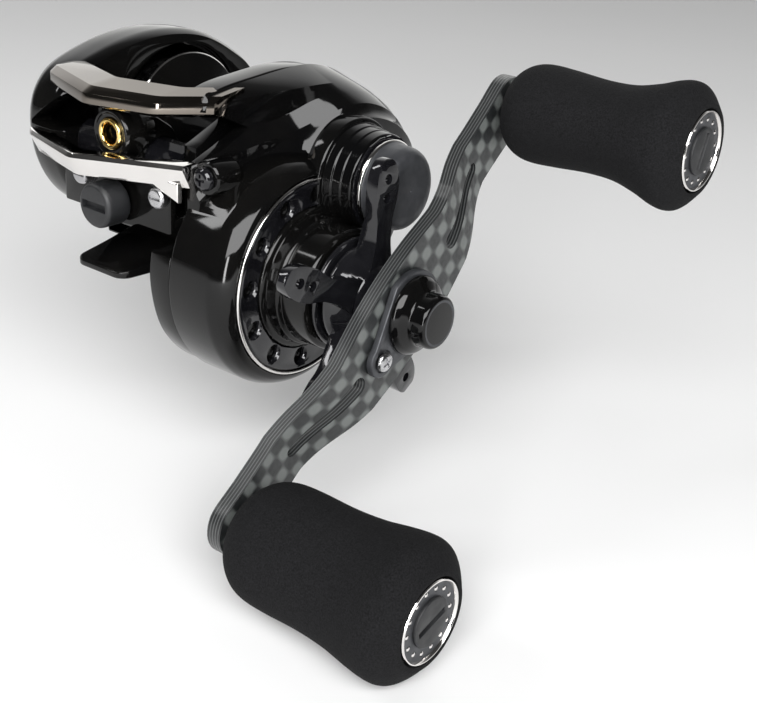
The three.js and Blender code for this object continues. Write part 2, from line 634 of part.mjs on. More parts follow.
function thumbBar() {
  const pad = slab([
    [21.2, 24.2], [23.2, 26.0], [26.4, 26.8], [29.6, 26.0], [30.6, 24.0], [29.4, 22.8], [22.2, 22.6],
  ], -14.6, 12.2, "yz");
  const arm = box([12.0, 13.9], [21.8, 25.0], [22.8, 25.2]);
  return join(pad, arm);
}

function levelWindDriveGear() {
  const toothed = slab(gearOutline(DRIVE, COG_TEETH, COG_MODULE, directionDeg(DRIVE, WORM)), 18.3, 19.5);
  return cut(toothed, rod([17, 21], 3.0, DRIVE, 16));
}

function driveShaft() {
  return turned([
    [13.0, 0], [13.2, 2.7], [19.95, 2.7], [19.95, 7.5], [20.35, 7.5], [20.35, 3.0], [45.8, 3.0],
    [46.0, 2.8], [60.4, 2.8], [60.8, 2.4], [60.8, 0],
  ], DRIVE, 14);
}

function driveShaftBushing() {
  return tube([13.0, 17.4], 2.9, 4.2, DRIVE, 16);
}

function dragWasher(x) {
  return tube([x, x + 0.7], 3.6, 14.6, DRIVE, 20);
}

function dragPressurePlate() {
  return turned([[23.55, 3.25], [23.55, 14.2], [24.4, 14.2], [25.0, 6.0], [25.0, 3.25]], DRIVE, 20);
}

function rollerSleeve() {
  return tube([25.2, 41.6], 3.2, 4.9, DRIVE, 14);
}

function antiReverseBearing() {
  const body = tube([33.2, 40.4], 5.6, 8.1, DRIVE, 20);
  const rollers = [];
  for (let i = 0; i < 8; i += 1) {
    rollers.push(rod([34.2, 39.4], 0.55, polar(DRIVE, 5.7, 45 * i), 5));
  }
  return join(body, ...rollers);
}

// ---------------------------------------------------------------- drag star and handle
function starClickRing() {
  return turned([
    [41.9, 5.3], [41.9, 10.3], [42.2, 10.6], [43.0, 10.6], [43.2, 10.4], [43.2, 5.3],
  ], DRIVE, 20);
}

function dragStar() {
  const hub = turned([
    [43.5, 0], [43.5, 9.6], [44.2, 9.9], [46.0, 9.4], [47.6, 8.2], [49.2, 6.6], [50.3, 5.4], [50.3, 0],
  ], DRIVE, 20);
  const arms = [];
  for (let i = 0; i < STAR_ARMS; i += 1) {
    const side = slab([
      [6, 44.4], [17, 45.9], [STAR_REACH, 45.9], [STAR_REACH, 47.9], [17, 48.4], [6, 49.0],
    ], -4, 4, "xy");
    const plan = slab([
      [6, -3.4], [11, -2.2], [15, -2.1], [18.5, -3.0], [23, -3.0], [25.8, -1.5],
      [25.8, 1.5], [23, 3.0], [18.5, 3.0], [15, 2.1], [11, 2.2], [6, 3.4],
    ], 40, 55, "xy");
    // The side outline is drawn as radius against x, the plan as radius against width.
    const sideUp = side.rotate([90, 0, 0]);
    const blade = sideUp.intersect(plan);
    const holes = [19.2, 22.6].map((r) => slab(circle([r, 0], 0.95, 6), 44, 52, "xy"));
    const upright = cut(blade, ...holes);
    const placed = upright.rotate([90, 0, 90]).rotate([STAR_PHASE + (360 * i) / STAR_ARMS, 0, 0]);
    arms.push(placed.translate([0, DRIVE[0], DRIVE[1]]));
  }
  return cut(join(hub, ...arms), rod([43, 51], 3.3, DRIVE, 16), rod([43, 48.2], 5.6, DRIVE, 6));
}

function starNut() {
  return cut(rod([43.6, 48.0], 5.3, DRIVE, 6), rod([43, 49], 3.2, DRIVE, 16));
}

// Puts a piece drawn about the handle's own axes (x, along the arm, across it) in place.
function onHandle(body) {
  return body.rotate([HANDLE_ANGLE, 0, 0]).translate([0, DRIVE[0], DRIVE[1]]);
}

function handleArm() {
  const [mid, end] = ARM_FACE;
  const [s0, s1] = ARM_BEND;
  const tip = HALF_THROW + 6.2;
  const front = [[-tip, end], [-s1, end], [-s0, mid], [s0, mid], [s1, end], [tip, end]];
  const back = [...front].reverse().map(([s, x]) => [s, x - ARM_T]);
  const bent = slab([...front, ...back].map(([s, x]) => [x, s]), -14, 14, "xy");
  const half = [[0, 9.2], [8, 8.8], [14, 7.9], [20, 6.9], [26, 5.9], [33, 5.2], [42, 5.3]];
  const endArc = [];
  for (let i = 0; i <= 8; i += 1) {
    const a = rad(80 - 20 * i);
    endArc.push([HALF_THROW + 5.7 * Math.cos(a), 5.7 * Math.sin(a)]);
  }
  const right = [...half, ...endArc, ...[...half].reverse().slice(0, -1).map(([s, t]) => [s, -t])];
  const outline = [...right, ...[...right].reverse().slice(0, -1).map(([s, t]) => [-s, t]).slice(1)];
  const plan = slab(outline, 40, 62, "yz");
  const slots = [1, -1].map((side) => slab(link([side * 16.5, 0], 1.7, [side * 32, 0], 1.1, 16), 40, 62));
  return cut(
    onHandle(cut(bent.intersect(plan), ...slots)),
    rod([50, 58], 2.95, DRIVE, 16),
    ...[0, 180].map((turn) => rod([40, 58], 2.2, polar(DRIVE, HALF_THROW, HANDLE_ANGLE + turn), 12)),
    rod([52, 58], 0.95, polar(DRIVE, 10.4, HANDLE_ANGLE + 180), 8),
  );
}

function handleNut() {
  return cut(rod([55.8, 59.8], 4.6, DRIVE, 6), rod([55, 61], 2.95, DRIVE, 16));
}

function retainerPlate() {
  const outline = link([0, 0], 8.2, [-10.4, 0], 3.2, 20);
  const plate = onHandle(slab(outline, 55.75, 57.1, "yz"));
  return cut(
    plate,
    rod([55, 58], 4.8, DRIVE, 16),
    rod([55, 58], 1.05, polar(DRIVE, 10.4, HANDLE_ANGLE + 180), 12),
  );
}

function retainerScrew() {
  const centre = polar(DRIVE, 10.4, HANDLE_ANGLE + 180);
  const body = turned([
    [53.2, 0], [53.2, 0.85], [57.2, 0.85], [57.2, 1.9], [57.9, 1.7], [58.2, 0],
  ], centre, 12);
  return cut(
    body,
    box([57.7, 59], [centre[0] - 0.2, centre[0] + 0.2], [centre[1] - 1.1, centre[1] + 1.1]),
    box([57.7, 59], [centre[0] - 1.1, centre[0] + 1.1], [centre[1] - 0.2, centre[1] + 0.2]),
  );
}

function nutCap() {
  const profile = [
    [61.2, 0], [61.2, 4.9], [57.25, 4.9], [57.25, 7.4], [58.3, 7.4], [59.3, 5.9], [59.9, 5.0], [62.4, 5.0],
    [63.0, 4.5], [63.0, 0],
  ];
  return turned(profile, DRIVE, 20);
}

// ---------------------------------------------------------------- knobs
const KNOB_CENTRES = [0, 180].map((turn) => polar(DRIVE, HALF_THROW, HANDLE_ANGLE + turn));

function knobPost(i) {
  return turned([
    [46.9, 0], [46.9, 3.0], [47.6, 3.2], [47.6, 2.0], [51.0, 2.0], [51.0, 3.9], [52.0, 3.9], [52.0, 1.9],
    [87.4, 1.9], [87.4, 0],
  ], KNOB_CENTRES[i], 12);
}

function knobCore(i) {
  return turned([
    [52.4, 2.1], [52.4, 4.6], [87.8, 4.6], [87.8, 2.1],
  ], KNOB_CENTRES[i], 16);
}

// Distance along the knob, half of the wide side, half of the narrow side.
const GRIP_ROWS = [
  [52.6, 6.0, 5.8], [53.4, 8.0, 7.4], [55.6, 9.9, 8.8], [58.4, 10.8, 9.3], [63, 11.0, 9.1], [70, 10.9, 8.6],
  [76, 11.3, 8.8], [81, 12.1, 10.0], [84.6, 12.5, 11.3], [86.8, 12.3, 11.6], [88.4, 11.2, 10.9],
  [90.6, 8.4, 8.4],
];

const GRIP_SIDES = 16;

function knobGrip(i) {
  const loops = GRIP_ROWS.map(([x, wide, narrow]) => {
    const points = [];
    for (let k = 0; k < GRIP_SIDES; k += 1) {
      const a = (2 * Math.PI * k) / GRIP_SIDES;
      points.push([x, wide * Math.cos(a), narrow * Math.sin(a)]);
    }
    return points;
  });
  const [y, z] = KNOB_CENTRES[i];
  const body = loft(loops).rotate([KNOB_TURN[i], 0, 0]).translate([0, y, z]);
  return cut(body, rod([50, 92], 4.8, [y, z], 12), rod([88.0, 92], 7.6, [y, z], 20));
}

function knobCap(i) {
  const [y, z] = KNOB_CENTRES[i];
  const disc = turned([
    [88.15, 0], [88.15, 7.2], [90.4, 7.3], [90.9, 6.9], [90.7, 4.3], [90.9, 4.1], [90.9, 0],
  ], [0, 0], 20);
  const slot = box([90.3, 92], [-3.2, 3.2], [-0.55, 0.55]);
  const dimples = [];
  for (let k = 0; k < CAP_DIMPLES; k += 1) {
    dimples.push(rod([90.45, 92], 0.5, polar([0, 0], 5.6, (360 * k) / CAP_DIMPLES), 4));
  }
  return cut(disc, slot, ...dimples).rotate([CAP_SLOT_TURN[i], 0, 0]).translate([0, y, z]);
}

// ---------------------------------------------------------------- small fittings
function plateScrew(i) {
  const [y, z] = PLATE_SCREWS[i];
  const body = turned([
    [12.8, 0], [12.8, 1.9], [14.0, 1.9], [14.0, 1.0], [22.2, 1.0], [22.2, 0],
  ], [y, z], 12);
  return cut(
    body,
    box([12, 13.4], [y - 1.2, y + 1.2], [z - 0.25, z + 0.25]),
    box([12, 13.4], [y - 0.25, y + 0.25], [z - 1.2, z + 1.2]),
  );
}

function barScrew() {
  const [x, z] = BAR_SCREW;
  const body = turnedY([
    [-27.1, 0], [-27.1, 1.6], [-26.6, 2.2], [-25.7, 2.2], [-25.7, 1.0], [-23.1, 1.0], [-23.1, 0],
  ], BAR_SCREW, 12);
  return cut(
    body,
    box([x - 1.3, x + 1.3], [-27.5, -26.6], [z - 0.25, z + 0.25]),
    box([x - 0.25, x + 0.25], [-27.5, -26.6], [z - 1.3, z + 1.3]),
  );
}

function releaseKnob() {
  const body = turnedY([
    [-32.6, 0], [-32.6, 3.9], [-32.1, 4.3], [-27.2, 4.4], [-27.2, 1.7], [-24.5, 1.7], [-24.5, 0],
  ], RELEASE, 18);
  const [x, z] = RELEASE;
  return cut(body, box([x - 3.4, x + 3.4], [-34, -31.4], [z - 0.75, z + 0.75]));
}

function frontScrew(centre) {
  const [x, z] = centre;
  const body = turnedY([
    [-29.2, 0], [-29.2, 1.7], [-28.6, 2.1], [-27.2, 2.1], [-27.2, 1.05], [-24.9, 1.05], [-24.9, 0],
  ], centre, 12);
  return cut(body, box([x - 1.5, x + 1.5], [-30, -28.5], [z - 0.3, z + 0.3]));
}

// ---------------------------------------------------------------- materials and assembly
function material(color, metalness, roughness) {
  return new THREE.MeshStandardMaterial({ color, metalness, roughness });
}

const LOOK = {
  blackChrome: [0x15130f, 0.9, 0.12],
  chrome: [0xd8d8d8, 1.0, 0.08],
  gold: [0xc9a24a, 1.0, 0.2],
  blackAlloy: [0x17181a, 0.7, 0.35],
  greyAlloy: [0x44464a, 0.7, 0.5],
  steel: [0xa9abae, 1.0, 0.3],
  brass: [0xb08d45, 1.0, 0.3],
  carbon: [0x2b2d2e, 0.2, 0.45],
  foam: [0x141415, 0.0, 0.95],
  polymer: [0x202124, 0.0, 0.5],
  dragCarbon: [0x1c1c1e, 0.1, 0.8],
};

const PIECES = [
  ["frame", frame, "blackChrome"],
  ["gear_side_plate", gearSidePlate, "blackChrome"],
  ["drive_cover", driveCover, "blackAlloy"],
  ["cover_trim_ring", coverTrimRing, "chrome"],
  ["palm_side_plate", palmSidePlate, "blackChrome"],
  ["front_cowl", frontCowl, "blackChrome"],
  ["lower_front_bar", lowerFrontBar, "chrome"],
  ["line_guide", lineGuide, "polymer"],
  ["line_guide_ring", lineGuideRing, "gold"],
  ["worm_shaft", wormShaft, "steel"],
  ["worm_tube", wormTube, "blackAlloy"],
  ["guide_rod", () => rod([-15.2, 12.4], 1.1, GUIDE_ROD, 16), "steel"],
  ["pawl", pawl, "brass"],
  ["worm_gear", wormGear, "polymer"],
  ["spool", spool, "blackChrome"],
  ["spool_shaft", spoolShaft, "steel"],
  ["spool_pin", spoolPin, "steel"],
  ["spool_bearing_palm", () => tube([-23.0, -20.0], 1.5, 4.6, SPOOL), "steel"],
  ["spool_bearing_gear", () => tube([12.9, 15.4], 1.5, 4.55, SPOOL), "steel"],
  ["brake_magnet_ring", brakeMagnetRing, "steel"],
  ["brake_dial", brakeDial, "blackAlloy"],
  ["tension_cap", tensionCap, "blackAlloy"],
  ["detent_ring", detentRing, "blackAlloy"],
  ["drive_gear", driveGear, "brass"],
  ["pinion", pinion, "brass"],
  ["yoke", yoke, "polymer"],
  ["yoke_spring_upper", () => yokeSpring(0), "steel"],
  ["yoke_spring_lower", () => yokeSpring(1), "steel"],
  ["clutch_plate", clutchPlate, "steel"],
  ["thumb_bar", thumbBar, "blackAlloy"],
  ["level_wind_drive_gear", levelWindDriveGear, "polymer"],
  ["drive_shaft", driveShaft, "steel"],
  ["drive_shaft_bushing", driveShaftBushing, "brass"],
  ["drag_washer_inner", () => dragWasher(21.8), "dragCarbon"],
  ["drag_washer_outer", () => dragWasher(22.7), "dragCarbon"],
  ["drag_pressure_plate", dragPressurePlate, "steel"],
  ["roller_sleeve", rollerSleeve, "steel"],
  ["anti_reverse_bearing", antiReverseBearing, "steel"],
  ["star_click_ring", starClickRing, "blackAlloy"],
  ["drag_star", dragStar, "blackAlloy"],
  ["star_nut", starNut, "brass"],
  ["handle_arm", handleArm, "carbon"],
  ["handle_nut", handleNut, "steel"],
  ["retainer_plate", retainerPlate, "greyAlloy"],
  ["retainer_screw", retainerScrew, "steel"],
  ["nut_cap", nutCap, "blackAlloy"],
  ["knob_post_upper", () => knobPost(0), "steel"],
  ["knob_core_upper", () => knobCore(0), "polymer"],
  ["knob_grip_upper", () => knobGrip(0), "foam"],
  ["knob_cap_upper", () => knobCap(0), "greyAlloy"],
  ["knob_post_lower", () => knobPost(1), "steel"],
  ["knob_core_lower", () => knobCore(1), "polymer"],
  ["knob_grip_lower", () => knobGrip(1), "foam"],
  ["knob_cap_lower", () => knobCap(1), "greyAlloy"],
  ["side_plate_screw_rear", () => plateScrew(0), "steel"],
  ["side_plate_screw_top", () => plateScrew(1), "steel"],
  ["lower_bar_screw", barScrew, "blackAlloy"],
  ["release_knob", releaseKnob, "greyAlloy"],
  ["front_screw_palm", () => frontScrew(FRONT_SCREWS[0]), "chrome"],
  ["front_screw_gear", () => frontScrew(FRONT_SCREWS[1]), "chrome"],
];

function toMesh(name, body, look) {
  const found = body.getMesh();
  const geometry = new THREE.BufferGeometry();
  geometry.setAttribute("position", new THREE.Float32BufferAttribute(Array.from(found.vertProperties), 3));
  geometry.setIndex(Array.from(found.triVerts));
  geometry.computeVertexNormals();
  const mesh = new THREE.Mesh(geometry, material(...LOOK[look]));
  mesh.name = name;
  return mesh;
}

const reel = new THREE.Group();
reel.name = "baitcasting_reel";
for (const [name, make, look] of PIECES) {
  reel.add(toMesh(name, make(), look));
}

export default reel;
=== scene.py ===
"""Looks of the bait-casting reel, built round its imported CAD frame.

Shapes are drawn in millimetres in the CAD frame (+X to the handle, -Y to the rod tip, +Z up)
and turned into metres when their mesh is made.
"""

import json
import math

import bmesh
import bpy
from mathutils import Matrix, Vector


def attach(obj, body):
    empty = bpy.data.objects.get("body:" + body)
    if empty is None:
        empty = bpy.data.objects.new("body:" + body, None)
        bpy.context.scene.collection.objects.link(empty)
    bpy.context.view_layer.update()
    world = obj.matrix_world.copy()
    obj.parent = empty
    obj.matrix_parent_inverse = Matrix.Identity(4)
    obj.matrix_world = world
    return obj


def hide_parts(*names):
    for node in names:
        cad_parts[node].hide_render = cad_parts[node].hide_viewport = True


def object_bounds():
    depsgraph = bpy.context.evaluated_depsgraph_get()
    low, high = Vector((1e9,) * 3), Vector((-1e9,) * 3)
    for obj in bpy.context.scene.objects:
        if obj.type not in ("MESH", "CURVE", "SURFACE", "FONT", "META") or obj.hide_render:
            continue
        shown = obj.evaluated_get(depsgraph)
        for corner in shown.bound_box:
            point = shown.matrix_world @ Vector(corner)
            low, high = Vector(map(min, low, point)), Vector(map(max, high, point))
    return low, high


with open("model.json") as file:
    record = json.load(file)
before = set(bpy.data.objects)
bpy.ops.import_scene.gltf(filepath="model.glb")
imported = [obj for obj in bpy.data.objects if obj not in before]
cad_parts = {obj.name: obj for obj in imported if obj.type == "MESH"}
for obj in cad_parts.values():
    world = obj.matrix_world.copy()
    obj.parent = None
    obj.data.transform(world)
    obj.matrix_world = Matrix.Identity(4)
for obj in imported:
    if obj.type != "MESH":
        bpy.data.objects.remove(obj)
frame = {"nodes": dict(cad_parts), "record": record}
cad_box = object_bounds()

MM = 0.001

# ---------------- dimensions, as in the CAD (mm)
SPOOL = (4.2, 18.9)
DRIVE = (-8.7, 1.7)
WORM = (-19.4, 20.5)
GUIDE_EYE = (0.0, 26.1)
GUIDE_ROD = (-15.4, 14.8)
HOUSING_R = 22.5
COVER_R = 18.6
HOLE_CIRCLE_R = 15.7
HOLE_R = 1.8
HOLE_COUNT = 12
HOLE_PHASE = 84.2
STAR_PHASE = 84.4
STAR_ARMS = 5
STAR_HOLES = (19.2, 22.6)  # distances of an arm's two holes from the drive axis
HANDLE_ANGLE = 39.8
HALF_THROW = 47.5  # from the drive axis to a knob's axis
ARM_FACE = (55.6, 50.8)
ARM_T = 3.0
ARM_BEND = (17.0, 33.0)  # where the arm steps down towards a knob
ARM_SLOT = (16.5, 32.0)  # where each slot in the arm begins and ends
KNOB_TURN = (164, 49)
CAP_SLOT_TURN = (70, 15)
CAP_STUDS = 14
STUD_CIRCLE_R = 5.6
BAR_SCREW = (22.0, 22.1)
RELEASE = (-0.3, 13.0)
FRONT_SCREWS = ((-9.8, 16.1), (11.2, 16.3))
SCREW_BACK = 1.1  # how far the front screws' heads are sunk
PLATE_SCREWS = ((19.6, 8.6), (-6.0, 34.0))
ROUND = 128  # facets round a visible turned piece
OUTLINE_SAMPLES = 200  # points round each side's outline
GRIP_FACETS = 96


def polar(centre, radius, degrees):
    a = math.radians(degrees)
    return (centre[0] + radius * math.cos(a), centre[1] + radius * math.sin(a))


KNOB_CENTRES = [polar(DRIVE, HALF_THROW, HANDLE_ANGLE + turn) for turn in (0, 180)]


# ---------------- outlines
def smooth_loop(points, samples):
    """Evenly spaced points on a closed centripetal Catmull-Rom curve."""
    n = len(points)
    dense = []
    for i in range(n):
        p = [Vector(points[(i + k - 1) % n]) for k in range(4)]
        t = [0.0]
        for a, b in zip(p, p[1:]):
            t.append(t[-1] + math.sqrt((b - a).length))
        for k in range(30):
            s = t[1] + (t[2] - t[1]) * k / 30
            a1 = p[0].lerp(p[1], (s - t[0]) / (t[1] - t[0]))
            a2 = p[1].lerp(p[2], (s - t[1]) / (t[2] - t[1]))
            a3 = p[2].lerp(p[3], (s - t[2]) / (t[3] - t[2]))
            b1 = a1.lerp(a2, (s - t[0]) / (t[2] - t[0]))
            b2 = a2.lerp(a3, (s - t[1]) / (t[3] - t[1]))
            dense.append(b1.lerp(b2, (s - t[1]) / (t[2] - t[1])))
    return spaced(dense, samples)


def spaced(points, samples):
    """A closed polyline resampled at even distances."""
    loop = points + [points[0]]
    along = [0.0]
    for a, b in zip(loop, loop[1:]):
        along.append(along[-1] + (Vector(b) - Vector(a)).length)
    out = []
    j = 0
    for k in range(samples):
        d = along[-1] * k / samples
        while along[j + 1] < d:
            j += 1
        share = (d - along[j]) / max(along[j + 1] - along[j], 1e-9)
        out.append(tuple(Vector(loop[j]).lerp(Vector(loop[j + 1]), share)))
    return out


def soften(points, radius, steps=4, closed=False):
    """The same polyline with its corners rounded."""
    out = []
    n = len(points)
    for i, p in enumerate(points):
        if not closed and i in (0, n - 1):
            out.append(tuple(p))
            continue
        p = Vector(p)
        a = Vector(points[i - 1]) - p
        b = Vector(points[(i + 1) % n]) - p
        if a.length < 1e-6 or b.length < 1e-6 or a.normalized().dot(b.normalized()) < -0.998:
            out.append(tuple(p))
            continue
        d = min(radius, 0.45 * a.length, 0.45 * b.length)
        start = p + a.normalized() * d
        end = p + b.normalized() * d
        for k in range(steps + 1):
            t = k / steps
            out.append(tuple(start.lerp(p, t).lerp(p.lerp(end, t), t)))
    return out


def inset(outline, amount):
    """A closed outline moved inwards along its mitred normals."""
    n = len(outline)
    area = sum(outline[i - 1][0] * outline[i][1] - outline[i][0] * outline[i - 1][1] for i in range(n))
    side = 1 if area > 0 else -1
    out = []
    for i in range(n):
        a, p, b = (Vector(outline[k]) for k in (i - 1, i, (i + 1) % n))
        u = (p - a).normalized()
        v = (b - p).normalized()
        n1 = Vector((-u.y, u.x)) * side
        n2 = Vector((-v.y, v.x)) * side
        mid = (n1 + n2) / max(1 + n1.dot(n2), 0.3)
        out.append(tuple(p + mid * amount))
    return out


def scaled(outline, middle, share):
    return [(middle[0] + share * (u - middle[0]), middle[1] + share * (v - middle[1])) for u,
            v in outline]


def disc(centre, radius, count=32):
    return [polar(centre, radius, 360 * k / count) for k in range(count)]


def linked(a, ra, b, rb, count=24):
    """Two circles joined by straight sides."""
    angle = math.degrees(math.atan2(b[1] - a[1], b[0] - a[0]))
    half = count // 2
    points = [polar(a, ra, angle + 90 + 180 * i / half) for i in range(half + 1)]
    points += [polar(b, rb, angle - 90 + 180 * i / half) for i in range(half + 1)]
    return points


GEAR_SIDE = smooth_loop(
    [polar(DRIVE, HOUSING_R, a) for a in (-60, -90, -120, -150, 180, 165, 152)] + [
        (-26.9, 17.5), (-26.4, 23.0), (-24.4, 30.5), (-22.4, 34.6), (-18.5, 36.3), (-9, 37.4),
        (1, 37.8),
        (10, 36.4), (18, 32.6), (24, 27.4), (27.4, 20.5), (26.8, 12.5), (22, 4.5), (16.4, -2.5),
        (11.6, -8.6),
    ], OUTLINE_SAMPLES)
PALM_SIDE = smooth_loop([
    (4, 0.6), (-8, 1.6), (-16.5, 4.2), (-22.2, 8.2), (-26, 14), (-27.6, 21), (-26.8, 28), (-23, 33.2),
    (-14, 37),
    (-4.5, 38.8), (4, 38.8), (12, 37.2), (20, 33.2), (26.6, 28), (29.6, 20.5), (28, 12), (22, 5),
    (14, 1.6),
], OUTLINE_SAMPLES)
PALM_MIDDLE = (1, 20)
GEAR_MIDDLE = (-3, 16)
WALL_SHARE = 0.99  # size of the gear-side wall against the cover's outline


# ---------------- shapes: lists of corners and faces
def at(plane, u, v, c):
    """A point drawn at u, v on a plane, c along the plane's own axis."""
    if plane == "yz":
        return (c, u, v)
    if plane == "xz":
        return (u, c, v)
    return (u, v, c)


def skin(loops):
    """Joins matching loops of corners and closes both ends."""
    n = len(loops[0])
    last = (len(loops) - 1) * n
    verts = [p for loop in loops for p in loop]
    faces = []
    for a in range(0, last, n):
        b = a + n
        faces += [(a + j, a + (j + 1) % n, b + (j + 1) % n, b + j) for j in range(n)]
    faces.append(tuple(range(n)))
    faces.append(tuple(last + j for j in range(n)))
    return verts, faces


def prism(outline, low, high, plane="yz", bevel=0.0, steps=3):
    """An outline swept along its plane's axis, with rounded end edges."""
    rows = [(0.0, bevel)]
    if bevel:
        rows = []
        for k in range(steps + 1):
            a = math.pi / 2 * k / steps
            rows.append((bevel * (1 - math.cos(a)), bevel * (1 - math.sin(a))))
    loops = []
    for depth, amount in rows:
        loops.append([at(plane, u, v, low + depth) for u, v in inset(outline, amount)])
    for depth, amount in reversed(rows):
        loops.append([at(plane, u, v, high - depth) for u, v in inset(outline, amount)])
    return skin(loops)


def lathe(profile, centre, axis="x", segments=ROUND, rounding=0.0):
    """A profile of (distance along the axis, radius) turned about an axis parallel to X or Y."""
    closed = profile[0][1] > 0
    if rounding:
        profile = soften(profile, rounding, 3, closed)
    verts = []
    rows = []
    for along, radius in profile:
        count = 1 if radius < 1e-6 else segments
        row = []
        for k in range(count):
            a = math.tau * k / segments
            u = centre[0] + radius * math.cos(a)
            v = centre[1] + radius * math.sin(a)
            row.append(len(verts))
            verts.append(at("yz" if axis == "x" else "xz", u, v, along))
        rows.append(row)
    faces = []
    pairs = list(zip(rows, rows[1:]))
    if closed:
        pairs.append((rows[-1], rows[0]))
    for a, b in pairs:
        for k in range(segments):
            k2 = (k + 1) % segments
            if len(a) == 1 and len(b) == 1:
                continue
            if len(a) == 1:
                faces.append((a[0], b[k], b[k2]))
            elif len(b) == 1:
                faces.append((a[k], a[k2], b[0]))
            else:
                faces.append((a[k], a[k2], b[k2], b[k]))
    return verts, faces


def block(x, y, z, bevel=0.3):
    return prism([(y[0], z[0]), (y[1], z[0]), (y[1], z[1]), (y[0], z[1])], x[0], x[1], "yz", bevel, 2)


def cylinder(x, radius, centre, segments=48):
    return lathe([(x[0], 0), (x[0], radius), (x[1], radius), (x[1], 0)], centre, "x", segments)


def cylinder_y(y, radius, centre, segments=48):
    return lathe([(y[0], 0), (y[0], radius), (y[1], radius), (y[1], 0)], centre, "y", segments)


def moved(shape, matrix):
    return [tuple(matrix @ Vector(p)) for p in shape[0]], shape[1]


def on_handle(shape):
    """Puts a shape drawn about the handle's own axes (x, along the arm, across it) in place."""
    turn = Matrix.Rotation(math.radians(HANDLE_ANGLE), 4, "X")
    return moved(shape, Matrix.Translation((0, DRIVE[0], DRIVE[1])) @ turn)


# ---------------- objects
def link(obj):
    bpy.context.scene.collection.objects.link(obj)


def solid(shape):
    mesh = bpy.data.meshes.new("tool")
    mesh.from_pydata([(x * MM, y * MM, z * MM) for x, y, z in shape[0]], [], shape[1])
    obj = bpy.data.objects.new("tool", mesh)
    link(obj)
    work = bmesh.new()
    work.from_mesh(mesh)
    bmesh.ops.remove_doubles(work, verts=work.verts, dist=1e-7)
    bmesh.ops.recalc_face_normals(work, faces=work.faces)
    work.to_mesh(mesh)
    work.free()
    return obj


def bake(obj):
    """Applies the object's modifiers."""
    found = obj.evaluated_get(bpy.context.evaluated_depsgraph_get())
    mesh = bpy.data.meshes.new_from_object(found)
    old = obj.data
    obj.modifiers.clear()
    obj.data = mesh
    bpy.data.meshes.remove(old)


def combine(base, tools, operation):
    for tool in tools:
        if not isinstance(tool, bpy.types.Object):
            tool = solid(tool)
        modifier = base.modifiers.new("boolean", "BOOLEAN")
        modifier.operation = operation
        modifier.solver = "EXACT"
        modifier.object = tool
        bake(base)
        mesh = tool.data
        bpy.data.objects.remove(tool)
        bpy.data.meshes.remove(mesh)
    return base


def join(base, *tools):
    return combine(base, tools, "UNION")


def cut(base, *tools):
    return combine(base, tools, "DIFFERENCE")


def overlap(base, *tools):
    return combine(base, tools, "INTERSECT")


def clean(obj):
    """Merges the slivers that boolean cuts leave on flat faces."""
    work = bmesh.new()
    work.from_mesh(obj.data)
    bmesh.ops.remove_doubles(work, verts=work.verts, dist=2e-6)
    bmesh.ops.dissolve_limit(work, angle_limit=math.radians(0.4), verts=work.verts, edges=work.edges)
    work.to_mesh(obj.data)
    work.free()


def edges(obj, width, angle=32, segments=2):
    """Rounds the sharp edges, so that they catch the light."""
    clean(obj)
    modifier = obj.modifiers.new("edges", "BEVEL")
    modifier.width = width * MM
    modifier.segments = segments
    modifier.limit_method = "ANGLE"
    modifier.angle_limit = math.radians(angle)
    modifier.use_clamp_overlap = True
    bake(obj)
    return obj


def piece(obj, name, body, look, replaces=(), sharp=34):
    """Names a finished object, shades it, hangs it under its body's empty and hides the CAD parts it
    replaces.
    """
    if not isinstance(obj, bpy.types.Object):
        obj = solid(obj)
    obj.name = name
    obj.data.name = name
    obj.data.materials.clear()
    obj.data.materials.append(look)
    for face in obj.data.polygons:
        face.use_smooth = True
    obj.data.set_sharp_from_angle(angle=math.radians(sharp))
    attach(obj, body)
    if replaces:
        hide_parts(*replaces)
    return obj


# ---------------- materials
def look(name, color, metallic, roughness, **sockets):
    """A Principled material with its even values on the shader's own sockets."""
    material = bpy.data.materials.new(name)
    material.use_nodes = True
    shader = material.node_tree.nodes["Principled BSDF"]
    shader.inputs["Base Color"].default_value = (*color, 1)
    shader.inputs["Metallic"].default_value = metallic
    shader.inputs["Roughness"].default_value = roughness
    for socket, value in sockets.items():
        shader.inputs[socket.replace("_", " ")].default_value = value
    return material


def node(material, kind, **values):
    made = material.node_tree.nodes.new(kind)
    for key, value in values.items():
        setattr(made, key, value)
    return made


def wire(material, source, target):
    material.node_tree.links.new(source, target)


def to_shader(material, source, socket):
    wire(material, source, material.node_tree.nodes["Principled BSDF"].inputs[socket])


def noise(material, scale, detail=4.0, stretch=(1, 1, 1)):
    """Noise in the object's own coordinates; scale is features per metre."""
    place = node(material, "ShaderNodeTexCoord")
    mapping = node(material, "ShaderNodeMapping")
    mapping.inputs["Scale"].default_value = stretch
    texture = node(material, "ShaderNodeTexNoise")
    texture.inputs["Scale"].default_value = scale
    texture.inputs["Detail"].default_value = detail
    wire(material, place.outputs["Object"], mapping.inputs["Vector"])
    wire(material, mapping.outputs["Vector"], texture.inputs["Vector"])
    return texture.outputs["Fac"]


def spread(material, source, low, high, inner=(0.35, 0.65)):
    """Maps a noise to a range."""
    made = node(material, "ShaderNodeMapRange")
    made.inputs["From Min"].default_value = inner[0]
    made.inputs["From Max"].default_value = inner[1]
    made.inputs["To Min"].default_value = low
    made.inputs["To Max"].default_value = high
    wire(material, source, made.inputs["Value"])
    return made.outputs["Result"]


def uneven(material, scale, low, high):
    """Lets the roughness vary softly, as fingerprints and polishing leave it."""
    to_shader(material, spread(material, noise(material, scale), low, high), "Roughness")


